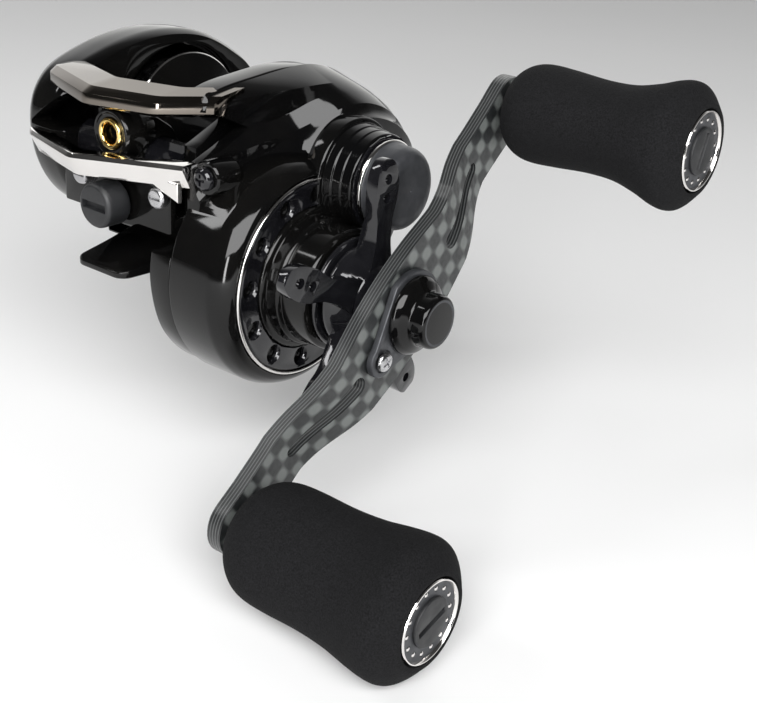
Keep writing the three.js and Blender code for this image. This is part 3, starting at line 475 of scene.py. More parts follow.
def between(material, level, dark, light):
    """Sets the base colour between two colours."""
    mix = node(material, "ShaderNodeMix", data_type="RGBA")
    mix.inputs["A"].default_value = (*dark, 1)
    mix.inputs["B"].default_value = (*light, 1)
    wire(material, level, mix.inputs["Factor"])
    to_shader(material, mix.outputs["Result"], "Base Color")


def tinted(material, scale, dark, light, stretch=(1, 1, 1)):
    between(material, spread(material, noise(material, scale, 3, stretch), 0, 1), dark, light)


def raised(material, height, strength, distance):
    """Bumps the surface by a height, up to a distance in mm."""
    bump = node(material, "ShaderNodeBump")
    bump.inputs["Strength"].default_value = strength
    bump.inputs["Distance"].default_value = distance * MM
    wire(material, height, bump.inputs["Height"])
    to_shader(material, bump.outputs["Normal"], "Normal")


def finish(name, color, metallic, roughness, tint, vary=None, bump=None, stretch=(1, 1, 1), **sockets):
    """A finish whose colour, roughness and surface vary a little.

    tint is (scale, dark, light), vary is (scale, low, high), bump is (scale, strength, distance).
    """
    m = look(name, color, metallic, roughness, **sockets)
    tinted(m, *tint, stretch)
    if vary:
        uneven(m, *vary)
    if bump:
        scale, strength, distance = bump
        raised(m, noise(m, scale), strength, distance)
    return m


def foam():
    """Closed-cell EVA foam, ground to shape: matte, with a fine open grain."""
    m = look("foam", (0.008, 0.008, 0.009), 0.0, 0.95, IOR=1.25)
    fine = noise(m, 3600, 2)
    coarse = noise(m, 900, 3)
    between(m, spread(m, fine, 0, 1, (0.3, 0.7)), (0.0035, 0.0035, 0.0038), (0.012, 0.012, 0.013))
    raised(m, math_node(m, "ADD", fine, coarse), 0.55, 0.16)
    return m


def math_node(material, operation, a, b=None):
    made = node(material, "ShaderNodeMath", operation=operation)
    for socket, value in zip(made.inputs, (a, b)):
        if isinstance(value, (int, float)):
            socket.default_value = value
        elif value is not None:
            wire(material, value, socket)
    return made.outputs[0]


WEAVE_PITCH = 2.9  # width of one tow of the laminate, mm
PLY = 0.62  # thickness of one ply, mm


def carbon(name, on_edge):
    """Plain-woven laminate under a clear coat, with a painted highlight on each tow's crown over the
    weave's checks. The arm's own coordinates, in mm, come from its mesh.
    """
    m = look(name, (0.05, 0.055, 0.055), 0.0, 0.42, Coat_Weight=0.25, Coat_Roughness=0.25)
    own = node(m, "ShaderNodeAttribute", attribute_name="arm_place")
    split = node(m, "ShaderNodeSeparateXYZ")
    wire(m, own.outputs["Vector"], split.inputs["Vector"])
    along, across, depth = split.outputs
    if on_edge:
        wave = math_node(m, "SINE", math_node(m, "MULTIPLY", depth, math.tau / PLY))
        level = spread(m, wave, 0.0, 1.0, (0.2, 0.95))
        dark, light = (0.008, 0.0085, 0.009), (0.085, 0.09, 0.09)
        height = wave
    else:
        # Face: the weave's checks, each tow's crown lightened as a painted highlight of its curvature;
        # the same pattern also bumps the surface.
        u = math_node(m, "SINE", math_node(m, "MULTIPLY", along, math.pi / WEAVE_PITCH))
        v = math_node(m, "SINE", math_node(m, "MULTIPLY", across, math.pi / WEAVE_PITCH))
        weave_and_crown_sheen = math_node(m, "MULTIPLY", u, v)
        level = spread(m, weave_and_crown_sheen, 0.0, 1.0, (-0.12, 0.5))
        dark, light = (0.014, 0.0155, 0.016), (0.125, 0.135, 0.13)
        height = math_node(m, "ABSOLUTE", weave_and_crown_sheen)
    between(m, level, dark, light)
    raised(m, height, 0.35, 0.05)
    uneven(m, 900, 0.34, 0.52)
    return m


BLACK = finish(
    "black_gloss", (0.003, 0.003, 0.003), 0.0, 0.07,
    (60, (0.002, 0.002, 0.0022), (0.004, 0.0038, 0.0035)), (90, 0.05, 0.10), IOR=1.38)
SMOKED = finish(
    "smoked_chrome", (0.17, 0.15, 0.13), 1.0, 0.06,
    (40, (0.15, 0.132, 0.115), (0.2, 0.178, 0.155)), (120, 0.04, 0.10))
CHROME = finish(
    "bright_chrome", (0.80, 0.78, 0.76), 1.0, 0.08,
    (50, (0.74, 0.72, 0.70), (0.84, 0.82, 0.80)), (150, 0.05, 0.12))
TURNED = finish(
    "turned_black", (0.008, 0.008, 0.010), 0.3, 0.09,
    (150, (0.006, 0.006, 0.0075), (0.011, 0.011, 0.013)), (220, 0.06, 0.12),
    Coat_Weight=0.5, Coat_Roughness=0.03)
GREY = finish(
    "satin_grey", (0.055, 0.057, 0.062), 0.5, 0.42,
    (300, (0.045, 0.047, 0.052), (0.068, 0.070, 0.076)), (500, 0.36, 0.5), (6000, 0.12, 0.02))
POLYMER = finish(
    "matte_polymer", (0.012, 0.0125, 0.014), 0.0, 0.5,
    (200, (0.009, 0.0095, 0.0105), (0.016, 0.0165, 0.018)), (400, 0.42, 0.6), (5000, 0.15, 0.03))
STEEL = finish(
    "machined_steel", (0.50, 0.50, 0.51), 1.0, 0.25,
    (400, (0.42, 0.42, 0.43), (0.58, 0.58, 0.59)), (500, 0.18, 0.34), stretch=(0.1, 1, 1))
GOLD = finish(
    "gold", (0.83, 0.60, 0.22), 1.0, 0.16,
    (500, (0.72, 0.50, 0.16), (0.90, 0.68, 0.28)), (800, 0.10, 0.24))
BRASS = finish(
    "machined_brass", (0.62, 0.46, 0.19), 1.0, 0.28,
    (400, (0.52, 0.38, 0.15), (0.70, 0.54, 0.24)), (500, 0.22, 0.36), stretch=(0.1, 1, 1))
DRAG = finish(
    "friction_carbon", (0.02, 0.02, 0.022), 0.0, 0.7,
    (1500, (0.012, 0.012, 0.013), (0.035, 0.035, 0.038)), bump=(3000, 0.3, 0.05))
FOAM = foam()
CARBON = carbon("carbon_face", False)
CARBON_EDGE = carbon("carbon_edge", True)

SLOT_LOOKS = {
    "black_chrome": BLACK, "bright_chrome": CHROME, "gold_ring": GOLD, "black_anodised": TURNED,
    "grey_anodised": GREY, "steel": STEEL, "brass": BRASS, "polymer": POLYMER, "drag_carbon": DRAG,
    "carbon_laminate": CARBON, "foam": FOAM,
}
for part in frame["record"]["subparts"]:
    for slot in frame["nodes"][part["node"]].material_slots:
        slot.material = SLOT_LOOKS[part["material_slot"]]


# ---------------- frame and covers
def palm_loop(x, share):
    return [(x, y, z) for y, z in scaled(PALM_SIDE, PALM_MIDDLE, share)]


def rounded_rows(rows, rounding=0.9, steps=5):
    """Softens a list of (x, share) rows by rounding it as a profile; 1 share counts as 22 mm."""
    reach = 22.0
    return [(x, s / reach) for x, s in soften([(x, share * reach) for x, share in rows], rounding,
                                              steps)]


def palm_ring():
    rows = rounded_rows([(-26.35, 0.945), (-24.6, 0.985), (-21.5, 1.0), (-17.4, 1.0), (-15.4, 0.955)],
                        1.2)
    ring = solid(skin([palm_loop(x, s) for x, s in rows]))
    pocket = skin([palm_loop(-27.5, 0.80), palm_loop(-17.6, 0.84)])
    notch = prism([(-14, 30.8), (-15.2, 30.8), (-24.4, 23.6), (-24.4, 23), (-14, 23)], -34, -17, "xz")
    bores = [cylinder(x, radius, SPOOL, ROUND) for x, radius in (((-28, -14), 16.5), ((-16.4, -14),
                                                                                      17.3))]
    cut(ring, pocket, *bores, notch, cylinder((-17.3, -15), 17.0, SPOOL, ROUND))
    return edges(ring, 0.18)


def gear_wall():
    through = (11, 19)
    wall = solid(prism(scaled(GEAR_SIDE, GEAR_MIDDLE, WALL_SHARE), 12.6, 17.85, "yz", 0.4))
    pocket = prism(inset(GEAR_SIDE, 3.0), 15.6, 19)
    bores = [cylinder(through, radius, axis) for radius, axis in ((4.7, SPOOL), (4.4, DRIVE),
                                                                  (1.8, WORM))]
    thumb_window = block(through, (20.2, 28.6), (15.4, 28.2), 0)
    front_relief = block(through, (-34, -21.7), (7, 30), 0)
    cut(
        wall, pocket, prism(LEDGE_CUT, 12, 19), *bores, thumb_window, front_relief,
        *[cylinder(through, 1.15, p) for p in PLATE_SCREWS],
        *[cylinder((11, 14.2), 2.1, p) for p in PLATE_SCREWS],
    )
    return edges(wall, 0.15)


def foot():
    """The blade that lies in the rod's seat, thin and narrow at both tips."""
    side = [(-32.4, 0), (-32.4, 1.3), (-24, 2.2), (-15.7, 3.4), (20, 2.6), (25, 2.2), (31.6, 1.2),
            (31.6, 0)]
    half = [(5.2, -32.4), (6.8, -31), (7.6, -24), (8.6, -14), (8.6, 14), (7.6, 24), (6.4, 30),
            (4.8, 31.6)]
    plan = soften(half + [(-x, y) for x, y in reversed(half)], 1.4, 4, True)
    blade = solid(prism(side, -9, 9))
    overlap(blade, prism(plan, -1, 6, "xy"))
    return edges(blade, 0.3, segments=3)


def build_frame():
    across = (-16.4, 13.6)
    body = palm_ring()
    join(
        body, gear_wall(), block(across, (-15.6, 22), (0.02, 2.6)), block(across, (-15.6, -13.2),
                                                                          (0.3, 12)),
        block(across, (-25.4, -13.2), (10.4, 12)), block(across, (-26.2, -24.8), (9.4, 18), 0.6),
        block(across, (20.6, 23), (0.3, 11)), block(across, (20.6, 26.5), (9, 11.4), 0.8), foot(),
    )
    cut(body, cylinder((-19, -14), 1.8, WORM), cylinder_y((-28, -20), 1.9, RELEASE),
        *[cylinder_y((-28, -20), 1.2, p) for p in FRONT_SCREWS])
    piece(body, "frame_body", "frame", BLACK, ("frame",))


# The gear side's cover, cut across at each y: crest height, then (x, z) of the crease beside the
# crest, the crease above the ledge, the ledge's edge and the foot of its fillet, and the underside.
HUMP = [
    (-26.2, 23.9, (18.9, 23.7), (19.1, 23.5), (19.3, 23.2), (21.0, 17.8), 8.0),
    (-24.4, 30.0, (19.2, 29.5), (19.2, 26.8), (20.0, 24.3), (21.6, 19.4), 4.0),
    (-22.6, 35.8, (19.4, 34.4), (19.3, 30.0), (20.4, 24.4), (22.0, 20.7), 0.0),
    (-20.0, 36.2, (19.8, 34.6), (19.5, 30.0), (21.2, 25.0), (22.1, 21.6), -2.0),
    (-16.0, 36.6, (20.8, 34.7), (19.9, 29.8), (21.7, 25.3), (22.2, 22.7), -2.0),
    (-12.0, 37.0, (22.0, 35.0), (20.5, 29.5), (23.0, 26.3), (23.1, 23.8), -2.0),
    (-8.0, 37.3, (23.3, 35.3), (21.4, 29.4), (24.1, 27.2), (25.0, 24.4), -2.0),
    (-4.0, 37.6, (24.4, 35.5), (23.2, 31.0), (25.4, 28.3), (27.2, 23.8), -2.0),
    (0.0, 37.8, (25.0, 35.6), (25.2, 33.0), (27.6, 30.3), (31.2, 26.4), -2.0),
    (4.0, 37.8, (25.1, 35.4), (27.4, 33.7), (29.5, 31.8), (31.9, 29.4), -2.0),
    (8.0, 37.2, (25.0, 35.0), (27.6, 33.6), (30.0, 31.9), (32.0, 29.5), -4.0),
    (12.0, 36.0, (24.8, 34.0), (27.5, 32.7), (30.0, 31.0), (32.0, 28.6), -5.0),
    (16.0, 34.0, (24.6, 32.3), (27.4, 31.0), (29.9, 29.3), (31.9, 27.0), -3.0),
    (20.0, 31.2, (24.4, 29.8), (27.2, 28.4), (29.6, 26.5), (31.6, 24.4), 2.0),
    (23.6, 27.6, (24.2, 26.3), (27.0, 24.7), (29.0, 22.8), (30.8, 20.9), 6.8),
    (26.2, 23.0, (23.8, 22.0), (26.2, 20.6), (27.8, 19.2), (29.2, 17.8), 11.5),
    (27.3, 19.4, (22.0, 18.8), (23.5, 18.3), (24.5, 17.8), (25.5, 17.2), 15.8),
]
# The notch that opens the ledge's front, as (y, z) points
LEDGE_CUT = [
    (-32, 33.6), (-22.4, 33.0), (-17.4, 30.9), (-13.2, 28.9), (-19.8, 26.2), (-26.3, 23.8), (-32, 22.0),
]
HOLLOW_Y = (-13.6, 25.8)  # how far the hollow above the gears reaches
ROOF_SLOPE = 0.75  # rise of the hollow's roof from its front end backwards


def blended(rows, steps):
    """Rows of numbers with more rows between them, on a curve through them."""
    out = []
    for i in range(len(rows) - 1):
        p = [Vector(rows[min(max(k, 0), len(rows) - 1)]) for k in (i - 1, i, i + 1, i + 2)]
        for k in range(steps):
            t = k / steps
            bend = 2 * p[0] - 5 * p[1] + 4 * p[2] - p[3]
            twist = 3 * p[1] - 3 * p[2] + p[3] - p[0]
            out.append(0.5 * (2 * p[1] + (p[2] - p[0]) * t + bend * t * t + twist * t ** 3))
    out.append(Vector(rows[-1]))
    return out


def hump_body(inner, depth):
    """The cover's outer body, or with a depth the hollow inside it."""
    rows = [(y, crest, *e, *b, *c, *d, low) for y, crest, e, b, c, d, low in HUMP]
    loops = []
    for y, crest, ex, ez, bx, bz, cx, cz, dx, dz, low in blended(rows, 4):
        if depth and not HOLLOW_Y[0] <= y <= HOLLOW_Y[1]:
            continue
        section = [
            (inner, low), (inner, crest - 0.5), (inner + 0.6, crest), (ex, ez), (bx, bz), (cx, cz),
            (cx + 0.12 * (dx - cx), cz - 0.3 * (cz - dz)), (cx + 0.35 * (dx - cx),
                                                            cz - 0.62 * (cz - dz)),
            (cx + 0.65 * (dx - cx), cz - 0.86 * (cz - dz)), (dx, dz), (dx - 0.6, low + 3.5),
            (ex - 0.6, low),
        ]
        if depth:
            top = 24.0 + min((y - HOLLOW_Y[0]) * ROOF_SLOPE, 10)
            section = [(x, min(z, top)) for x, z in inset(section, depth)]
        loops.append([(x, y, z) for x, z in section])
    return skin(loops)


def build_side_plate():
    hump = solid(hump_body(18.0, 0))
    drum = lathe([
        (18.0, 0), (18.0, HOUSING_R - 0.25), (18.25, HOUSING_R), (28.0, HOUSING_R),
        (30.2, HOUSING_R - 0.8),
        (31.6, HOUSING_R - 1.9), (32.15, HOUSING_R - 2.85), (31.9, HOUSING_R - 3.1),
        (31.0, HOUSING_R - 3.15),
        (31.0, 13.9), (32.6, 13.7), (33.0, 13.2), (33.1, 12.6), (35.4, 12.4), (35.8, 12.1),
        (36.0, 11.75),
        (41.1, 11.6), (41.7, 11.0), (41.7, 0),
    ], DRIVE, rounding=0.7)
    cap_boss = lathe([
        (29, 0), (29, 11.6), (32.2, 11.2), (32.5, 10.9), (32.6, 10.3), (34.2, 10.05), (34.4, 9.8),
        (36.2, 9.7),
        (36.4, 9.5), (38.3, 9.4), (38.6, 9.1), (38.6, 0),
    ], SPOOL, rounding=0.15)
    join(hump, drum, cap_boss)
    cut(hump, hump_body(17.0, 1.1), cylinder((17, 29.2), 20.6, DRIVE, ROUND), cylinder((17, 20.6), 4.5,
                                                                                       WORM),
        prism(LEDGE_CUT, 17, 27))
    join(hump, lathe([(-25.5, 0), (-25.5, 2.9), (-25.2, 3.2), (-20, 3.3), (-20, 0)], BAR_SCREW, "y",
                     64))
    cut(
        hump, cylinder((28.5, 40.6), 8.3, DRIVE), cylinder((28.5, 43), 5.4, DRIVE),
        cylinder((28.5, 36.9), 5.2, SPOOL), cylinder((28.5, 40), 1.9, SPOOL),
        cylinder_y((-34, -22.5), 1.15, BAR_SCREW),
    )
    edges(hump, 0.2, 22, 3)
    piece(hump, "gear_side_cover", "frame", BLACK, ("gear_side_plate",), 26)


def build_drive_cover():
    plate = solid(lathe([
        (31.15, 14.0), (31.15, COVER_R), (32.2, COVER_R), (32.45, COVER_R - 0.35),
        (32.35, COVER_R - 1.0),
        (32.3, 14.0),
    ], DRIVE))
    cut(plate, cylinder((30, 40), 10.75, SPOOL, ROUND))
    for i in range(HOLE_COUNT):
        centre = polar(DRIVE, HOLE_CIRCLE_R + 0.25, HOLE_PHASE + 360 * i / HOLE_COUNT)
        cut(plate, lathe([
            (30, 0), (30, HOLE_R - 0.35), (31.75, HOLE_R - 0.3), (32.35, HOLE_R + 0.12),
            (34, HOLE_R + 0.3), (34, 0),
        ], centre, segments=40))
    edges(plate, 0.08)
    piece(plate, "perforated_cover", "frame", TURNED, ("drive_cover",))
    ring = solid(lathe([
        (31.2, COVER_R + 0.2), (31.2, COVER_R + 0.75), (32.35, COVER_R + 0.75), (32.6, COVER_R + 0.55),
        (32.55, COVER_R + 0.2),
    ], DRIVE, rounding=0.12))
    cut(ring, cylinder((30, 40), 10.75, SPOOL, ROUND))
    piece(ring, "trim_ring", "frame", CHROME, ("cover_trim_ring",))


def build_palm_plate():
    rows = rounded_rows([(-26.5, 0.94), (-28.2, 0.88), (-29.2, 0.79), (-29.5, 0.66)], 1.6)
    rows = [(x, s) for x, s in rows if s > 0.665] + [(-29.5, 0.62)]
    dome = solid(skin([palm_loop(x, s) for x, s in rows]))
    join(dome, cylinder((-28, -17.6), 6.4, SPOOL), cylinder((-21.2, -19.8), 13.2, SPOOL, ROUND))
    cut(dome, cylinder((-31, -26.1), 6.3, SPOOL, ROUND), cylinder((-24.6, -17), 4.75, SPOOL))
    edges(dome, 0.2)
    piece(dome, "palm_cover", "palm_plate", BLACK, ("palm_side_plate",))
    dial = solid(lathe([
        (-28.1, 0), (-28.1, 6.0), (-29.5, 6.05), (-30.0, 5.6), (-30.1, 4.9), (-29.9, 4.6), (-29.95, 0),
    ], SPOOL, rounding=0.15))
    slot = block((-31, -29.5), (SPOOL[0] - 4.2, SPOOL[0] + 4.2), (SPOOL[1] - 0.8, SPOOL[1] + 0.8), 0)
    edges(cut(dial, slot), 0.1)
    piece(dial, "palm_dial", "brake_dial", GREY, ("brake_dial",))


# ---------------- bars across the front
def bar(spine, section, rounding=1.2, left_share=1.0, reach=5.0):
    """A bar whose section is drawn as (y, z) offsets from a spine of (x, y, z) points.

    Over the reach at its left end the section shrinks to left_share of its size.
    """
    loops = []
    for x, y, z in soften(spine, rounding, 3):
        share = left_share + (1 - left_share) * min((x - spine[0][0]) / reach, 1)
        loops.append([(x, y + dy * share, z + dz * share) for dy, dz in section])
    return skin(loops)


def wall_clearance():
    """The frame's two ends with a hair of clearance, to seat the bars against."""
    return [
        prism(scaled(GEAR_SIDE, GEAR_MIDDLE, WALL_SHARE), 12.4, 18.0),
        skin([palm_loop(-30, 1.006), palm_loop(-15.2, 1.006)]),
    ]


def build_front_bars():
    cowl_spine = [(-24.0, -20.5, 33.6), (-20.6, -24.2, 34.0), (-1.6, -31.6, 34.7), (12.2, -27.9, 34.8),
                  (20.4, -20.6, 35.2)]
    cowl_section = [(0, -3.2), (-1.4, -2.4), (-1.2, -0.6), (0.6, 0.5), (6.4, 1.2), (6.2, -0.4),
                    (2.4, -0.9),
                    (1.4, -3.2)]
    cowl = solid(bar(cowl_spine, cowl_section, 1.2, 0.45))
    cut(cowl, *wall_clearance())
    edges(cowl, 0.12)
    piece(cowl, "front_cowl_bar", "frame", SMOKED, ("front_cowl",), 20)

    bar_spine = [(-26.6, -24.9, 22.4), (-22.6, -28.0, 22.4), (-4.0, -33.6, 22.8), (19.0, -27.0, 24.2)]
    bar_section = [(1.6, -4.4), (0.4, -4.4), (-1.4, -0.8), (-1.0, 0), (1.8, 0.2), (3.2, -2.4),
                   (3.0, -4.2)]
    lower = solid(bar(bar_spine, bar_section, 1.2, 0.6))
    fin = prism([(5.0, 19.6), (11.0, 18.9), (17.5, 16.9), (17.5, 20.6), (10.0, 20.6)], -28.2, -26.9,
                "xz", 0.3)
    join(lower, fin)
    guide_path = block((-15, 12.4), (-28.8, -20), (20.9, 26), 0)
    cut(lower, *wall_clearance(), guide_path)
    edges(lower, 0.12)
    piece(lower, "lower_bar", "frame", CHROME, ("lower_front_bar",), 20)


# ---------------- spool, line guide and thumb bar
def build_spool():
    a, b, r = -14.2, 12.2, 15.5
    body = solid(lathe([
        (a, 7.4), (a, r - 0.45), (a + 0.35, r - 0.05), (a + 0.7, r), (a + 1.0, r - 0.25),
        (a + 2.3, 8.7),
        (a + 2.8, 8.2), (b - 2.8, 8.2), (b - 2.3, 8.7), (b - 1.0, r - 0.25), (b - 0.7, r),
        (b - 0.35, r - 0.05),
        (b, r - 0.45), (b - 0.35, r - 1.2), (b - 0.9, r - 2.2), (b - 1.1, 7.2), (1.6, 7.0), (1.6, 2.0),
        (1.2, 1.5), (-3.4, 1.5), (-3.6, 2.0), (-3.6, 7.0), (a + 1.1, 7.2),
    ], SPOOL, rounding=0.12))
    piece(body, "line_spool", "spool", BLACK, ("spool",), 28)
    for name, x, side in (("spool_lip_gear", b, 1), ("spool_lip_palm", a, -1)):
        ring = lathe([(x - 0.50 * side + 0.46 * math.cos(t), r - 0.42 + 0.50 * math.sin(t))
                      for t in (math.tau * k / 12 for k in range(12))], SPOOL)
        piece(ring, name, "spool", CHROME, (), 28)


def build_line_guide():
    side = soften([
        (-24.2, 14.0), (-24.4, 29.0), (-20.6, 29.0), (-16.4, 26.2), (-14.2, 22.4), (-13.0, 17.4),
        (-13.2, 13.0), (-21.6, 12.6),
    ], 1.0, 3, True)
    body = solid(prism(side, -3.9, 3.9, "yz", 0.35))
    join(body, lathe([
        (-28.15, 0), (-28.15, 3.7), (-28.4, 4.0), (-28.35, 4.4), (-27.8, 4.8), (-24.4, 5.2),
        (-21, 4.4), (-21, 0),
    ], GUIDE_EYE, "y", rounding=0.2))
    eye = lathe([
        (-31, 0), (-31, 3.15), (-26.2, 3.15), (-26.2, 1.8), (-20, 1.9), (-12, 2.6), (-12, 0),
    ], GUIDE_EYE, "y")
    pawl_bore = prism(disc((0, WORM[0]), 1.5), 10, 20, "xy")
    cut(body, eye, cylinder((-6, 6), 4.4, WORM), cylinder((-6, 6), 1.25, GUIDE_ROD), pawl_bore)
    edges(body, 0.14)
    piece(body, "line_guide_body", "line_guide", BLACK, ("line_guide",))
    ring = lathe([
        (-28.4, 2.0), (-28.62, 2.15), (-28.75, 2.45), (-28.66, 2.8), (-28.4, 3.0), (-27.9, 3.06),
        (-26.4, 3.06), (-26.4, 1.9), (-27.6, 1.85),
    ], GUIDE_EYE, "y", rounding=0.15)
    piece(ring, "guide_eye_ring", "line_guide", GOLD, ("line_guide_ring",), 40)


def build_thumb_bar():
    side = soften([
        (21.2, 24.2), (23.2, 26), (26.4, 26.8), (29.6, 26), (30.6, 24), (29.4, 22.8), (22.2, 22.6),
    ], 1.2, 3, True)
    pad = solid(prism(side, -14.6, 12.2, "yz", 0.6))
    cut(pad, *[grip_groove(22.4 + 1.6 * i) for i in range(5)])
    join(pad, block((11, 13.9), (21.8, 25), (22.8, 25.2), 0.2))
    edges(pad, 0.12)
    piece(pad, "thumb_pad", "thumb", POLYMER, ("thumb_bar",))


def grip_groove(y):
    """A shallow grip groove across the thumb bar's top."""
    return lathe([(-12, 0), (-12, 0.45), (10, 0.45), (10, 0)], (y, 26.95 - 0.055 * (y - 26.4) ** 2),
                 "x", 24)


# ---------------- tension cap and drag star
def build_tension_cap():
    cap = lathe([
        (39.3, 6.3), (39.3, 8.2), (39.5, 8.5), (40.05, 8.5), (40.3, 8.2), (41.4, 8.05), (43.4, 7.9),
        (44.4, 7.5),
        (45.1, 6.8), (45.4, 6.0), (45.5, 5.2), (45.45, 0), (43.8, 0), (43.8, 6.0),
    ], SPOOL, rounding=0.35)
    piece(cap, "tension_cap_shell", "tension_cap", GREY, ("tension_cap",), 28)
    rim = lathe([
        (39.28, 8.1), (39.28, 8.35), (39.5, 8.6), (40.0, 8.6), (40.25, 8.3), (40.2, 8.1),
    ], SPOOL, rounding=0.1)
    piece(rim, "tension_cap_rim", "tension_cap", CHROME, (), 28)


def build_star():
    hub = solid(lathe([
        (43.5, 0), (43.5, 9.2), (43.8, 9.6), (44.5, 9.7), (45.6, 9.35), (46.8, 8.6), (48.0, 7.7),
        (49.2, 6.6),
        (50.1, 5.6), (50.3, 5.2), (50.3, 0),
    ], DRIVE, rounding=0.3))
    # An arm's side view is drawn in (r, x), and its plan in (r, across).
    side = soften([
        (6, 44.4), (12, 44.9), (17, 45.9), (26.3, 45.9), (26.3, 47.9), (22, 48.35), (17, 48.4),
        (11, 48.7), (6, 49),
    ], 0.8, 4, True)
    half = [
        (6, 3.4), (8, 2.75), (11, 2.15), (15, 2.1), (17, 2.6), (18.8, 3.05), (21, 3.15), (23, 3.0),
        (24.7, 2.45),
        (25.8, 1.5), (26.2, 0.6),
    ]
    plan = soften(half + [(r, -w) for r, w in reversed(half)], 0.8, 3, True)
    for i in range(STAR_ARMS):
        arm = solid(prism(side, -4, 4, "xy"))
        for vertex in arm.data.vertices:
            r, x, across = vertex.co / MM
            vertex.co = Vector((x, r, across)) * MM
        overlap(arm, prism(plan, 40, 52))
        cut(arm, *[cylinder((44, 52), 0.95, (r, 0), 24) for r in STAR_HOLES])
        recalc(arm)
        turn = Matrix.Rotation(math.radians(STAR_PHASE + 360 / STAR_ARMS * i), 4, "X")
        arm.data.transform(Matrix.Translation((0, DRIVE[0] * MM, DRIVE[1] * MM)) @ turn)
        join(hub, arm)
    hexagon = prism(disc(DRIVE, 5.6, 6), 43, 48.2)
    cut(hub, cylinder((40, 52), 3.3, DRIVE), hexagon)
    edges(hub, 0.22, 28, 3)
    piece(hub, "drag_star_body", "star", TURNED, ("drag_star",))
    ring = lathe([
        (41.9, 5.3), (41.9, 10.0), (42.15, 10.5), (42.6, 10.65), (43.0, 10.5), (43.2, 10.2), (43.2, 5.3),
    ],
                 DRIVE, rounding=0.15)
    piece(ring, "star_ring", "star", TURNED, ("star_click_ring",), 28)


def recalc(obj):
    work = bmesh.new()
    work.from_mesh(obj.data)
    bmesh.ops.recalc_face_normals(work, faces=work.faces)
    work.to_mesh(obj.data)
    work.free()


# ---------------- crank handle
def arm_face(s):
    """Distance of the arm's outer face along X: raised in the middle, lower at the knobs."""
    t = min(max((abs(s) - ARM_BEND[0]) / (ARM_BEND[1] - ARM_BEND[0]), 0), 1)
    eased = t - 0.06 * math.sin(math.tau * t)
    return ARM_FACE[0] + (ARM_FACE[1] - ARM_FACE[0]) * eased


def build_arm():
    half = [(0, 9.2), (8, 8.8), (14, 7.9), (20, 6.9), (26, 5.9), (33, 5.2), (42, 5.3)]
    one_side = half + [polar((HALF_THROW, 0), 5.7, d) for d in range(80, -1, -16)]
    right = [(s, -w) for s, w in reversed(one_side)][1:]
    left_end = [(-s, -w) for s, w in one_side][1:]
    left_back = [(-s, w) for s, w in reversed(one_side)][1:-1]
    outline = smooth_loop(one_side + right + left_end + left_back, 260)
    arm = solid(prism(outline, -ARM_T, 0))
    tools = [cylinder((-4, 1), 2.95, (0, 0)), cylinder((-4, 1), 0.95, (-10.4, 0), 24)]
    for side in (1, -1):
        start, end = (side * s for s in ARM_SLOT)
        slot = soften(linked((start, 0), 1.7, (end, 0), 1.1, 32), 0.1, 1, True)
        tools += [prism(slot, -4, 1), cylinder((-4, 1), 2.2, (side * HALF_THROW, 0), 32)]
    cut(arm, *tools)
    work = bmesh.new()
    work.from_mesh(arm.data)
    for s in [k * 2.0 for k in range(-17, 18) if abs(k) > 7]:
        bmesh.ops.bisect_plane(work, geom=work.verts[:] + work.edges[:] + work.faces[:], dist=1e-7,
                               plane_co=(0, s * MM, 0), plane_no=(0, 1, 0))
    work.to_mesh(arm.data)
    work.free()
    modifier = arm.modifiers.new("edges", "BEVEL")
    modifier.width = 0.16 * MM
    modifier.segments = 2
    modifier.limit_method = "ANGLE"
    modifier.angle_limit = math.radians(50)
    bake(arm)
    mesh = arm.data
    own = mesh.attributes.new("arm_place", "FLOAT_VECTOR", "POINT")
    for index, vertex in enumerate(mesh.vertices):
        x, s, w = vertex.co / MM
        own.data[index].vector = (s, w, x)
    on_edge = [abs(face.normal.x) < 0.6 for face in mesh.polygons]
    for vertex in mesh.vertices:
        x, s, w = vertex.co / MM
        vertex.co = Vector((x + arm_face(s), s, w)) * MM
    turn = Matrix.Rotation(math.radians(HANDLE_ANGLE), 4, "X")
    mesh.transform(Matrix.Translation((0, DRIVE[0] * MM, DRIVE[1] * MM)) @ turn)
    piece(arm, "crank_arm", "crank", CARBON, ("handle_arm",), 30)
    mesh.materials.append(CARBON_EDGE)
    for face, edge in zip(mesh.polygons, on_edge):
        face.material_index = 1 if edge else 0


def cross_slot(x, centre, reach, width, turn=0):
    tools = []
    for extra in (0, 90):
        bar_shape = prism([(-reach, -width), (reach, -width), (reach, width), (-reach, width)], x[0],
                          x[1])
        spin = Matrix.Rotation(math.radians(turn + extra), 4, "X")
        tools.append(moved(bar_shape, Matrix.Translation((0, centre[0], centre[1])) @ spin))
    return tools


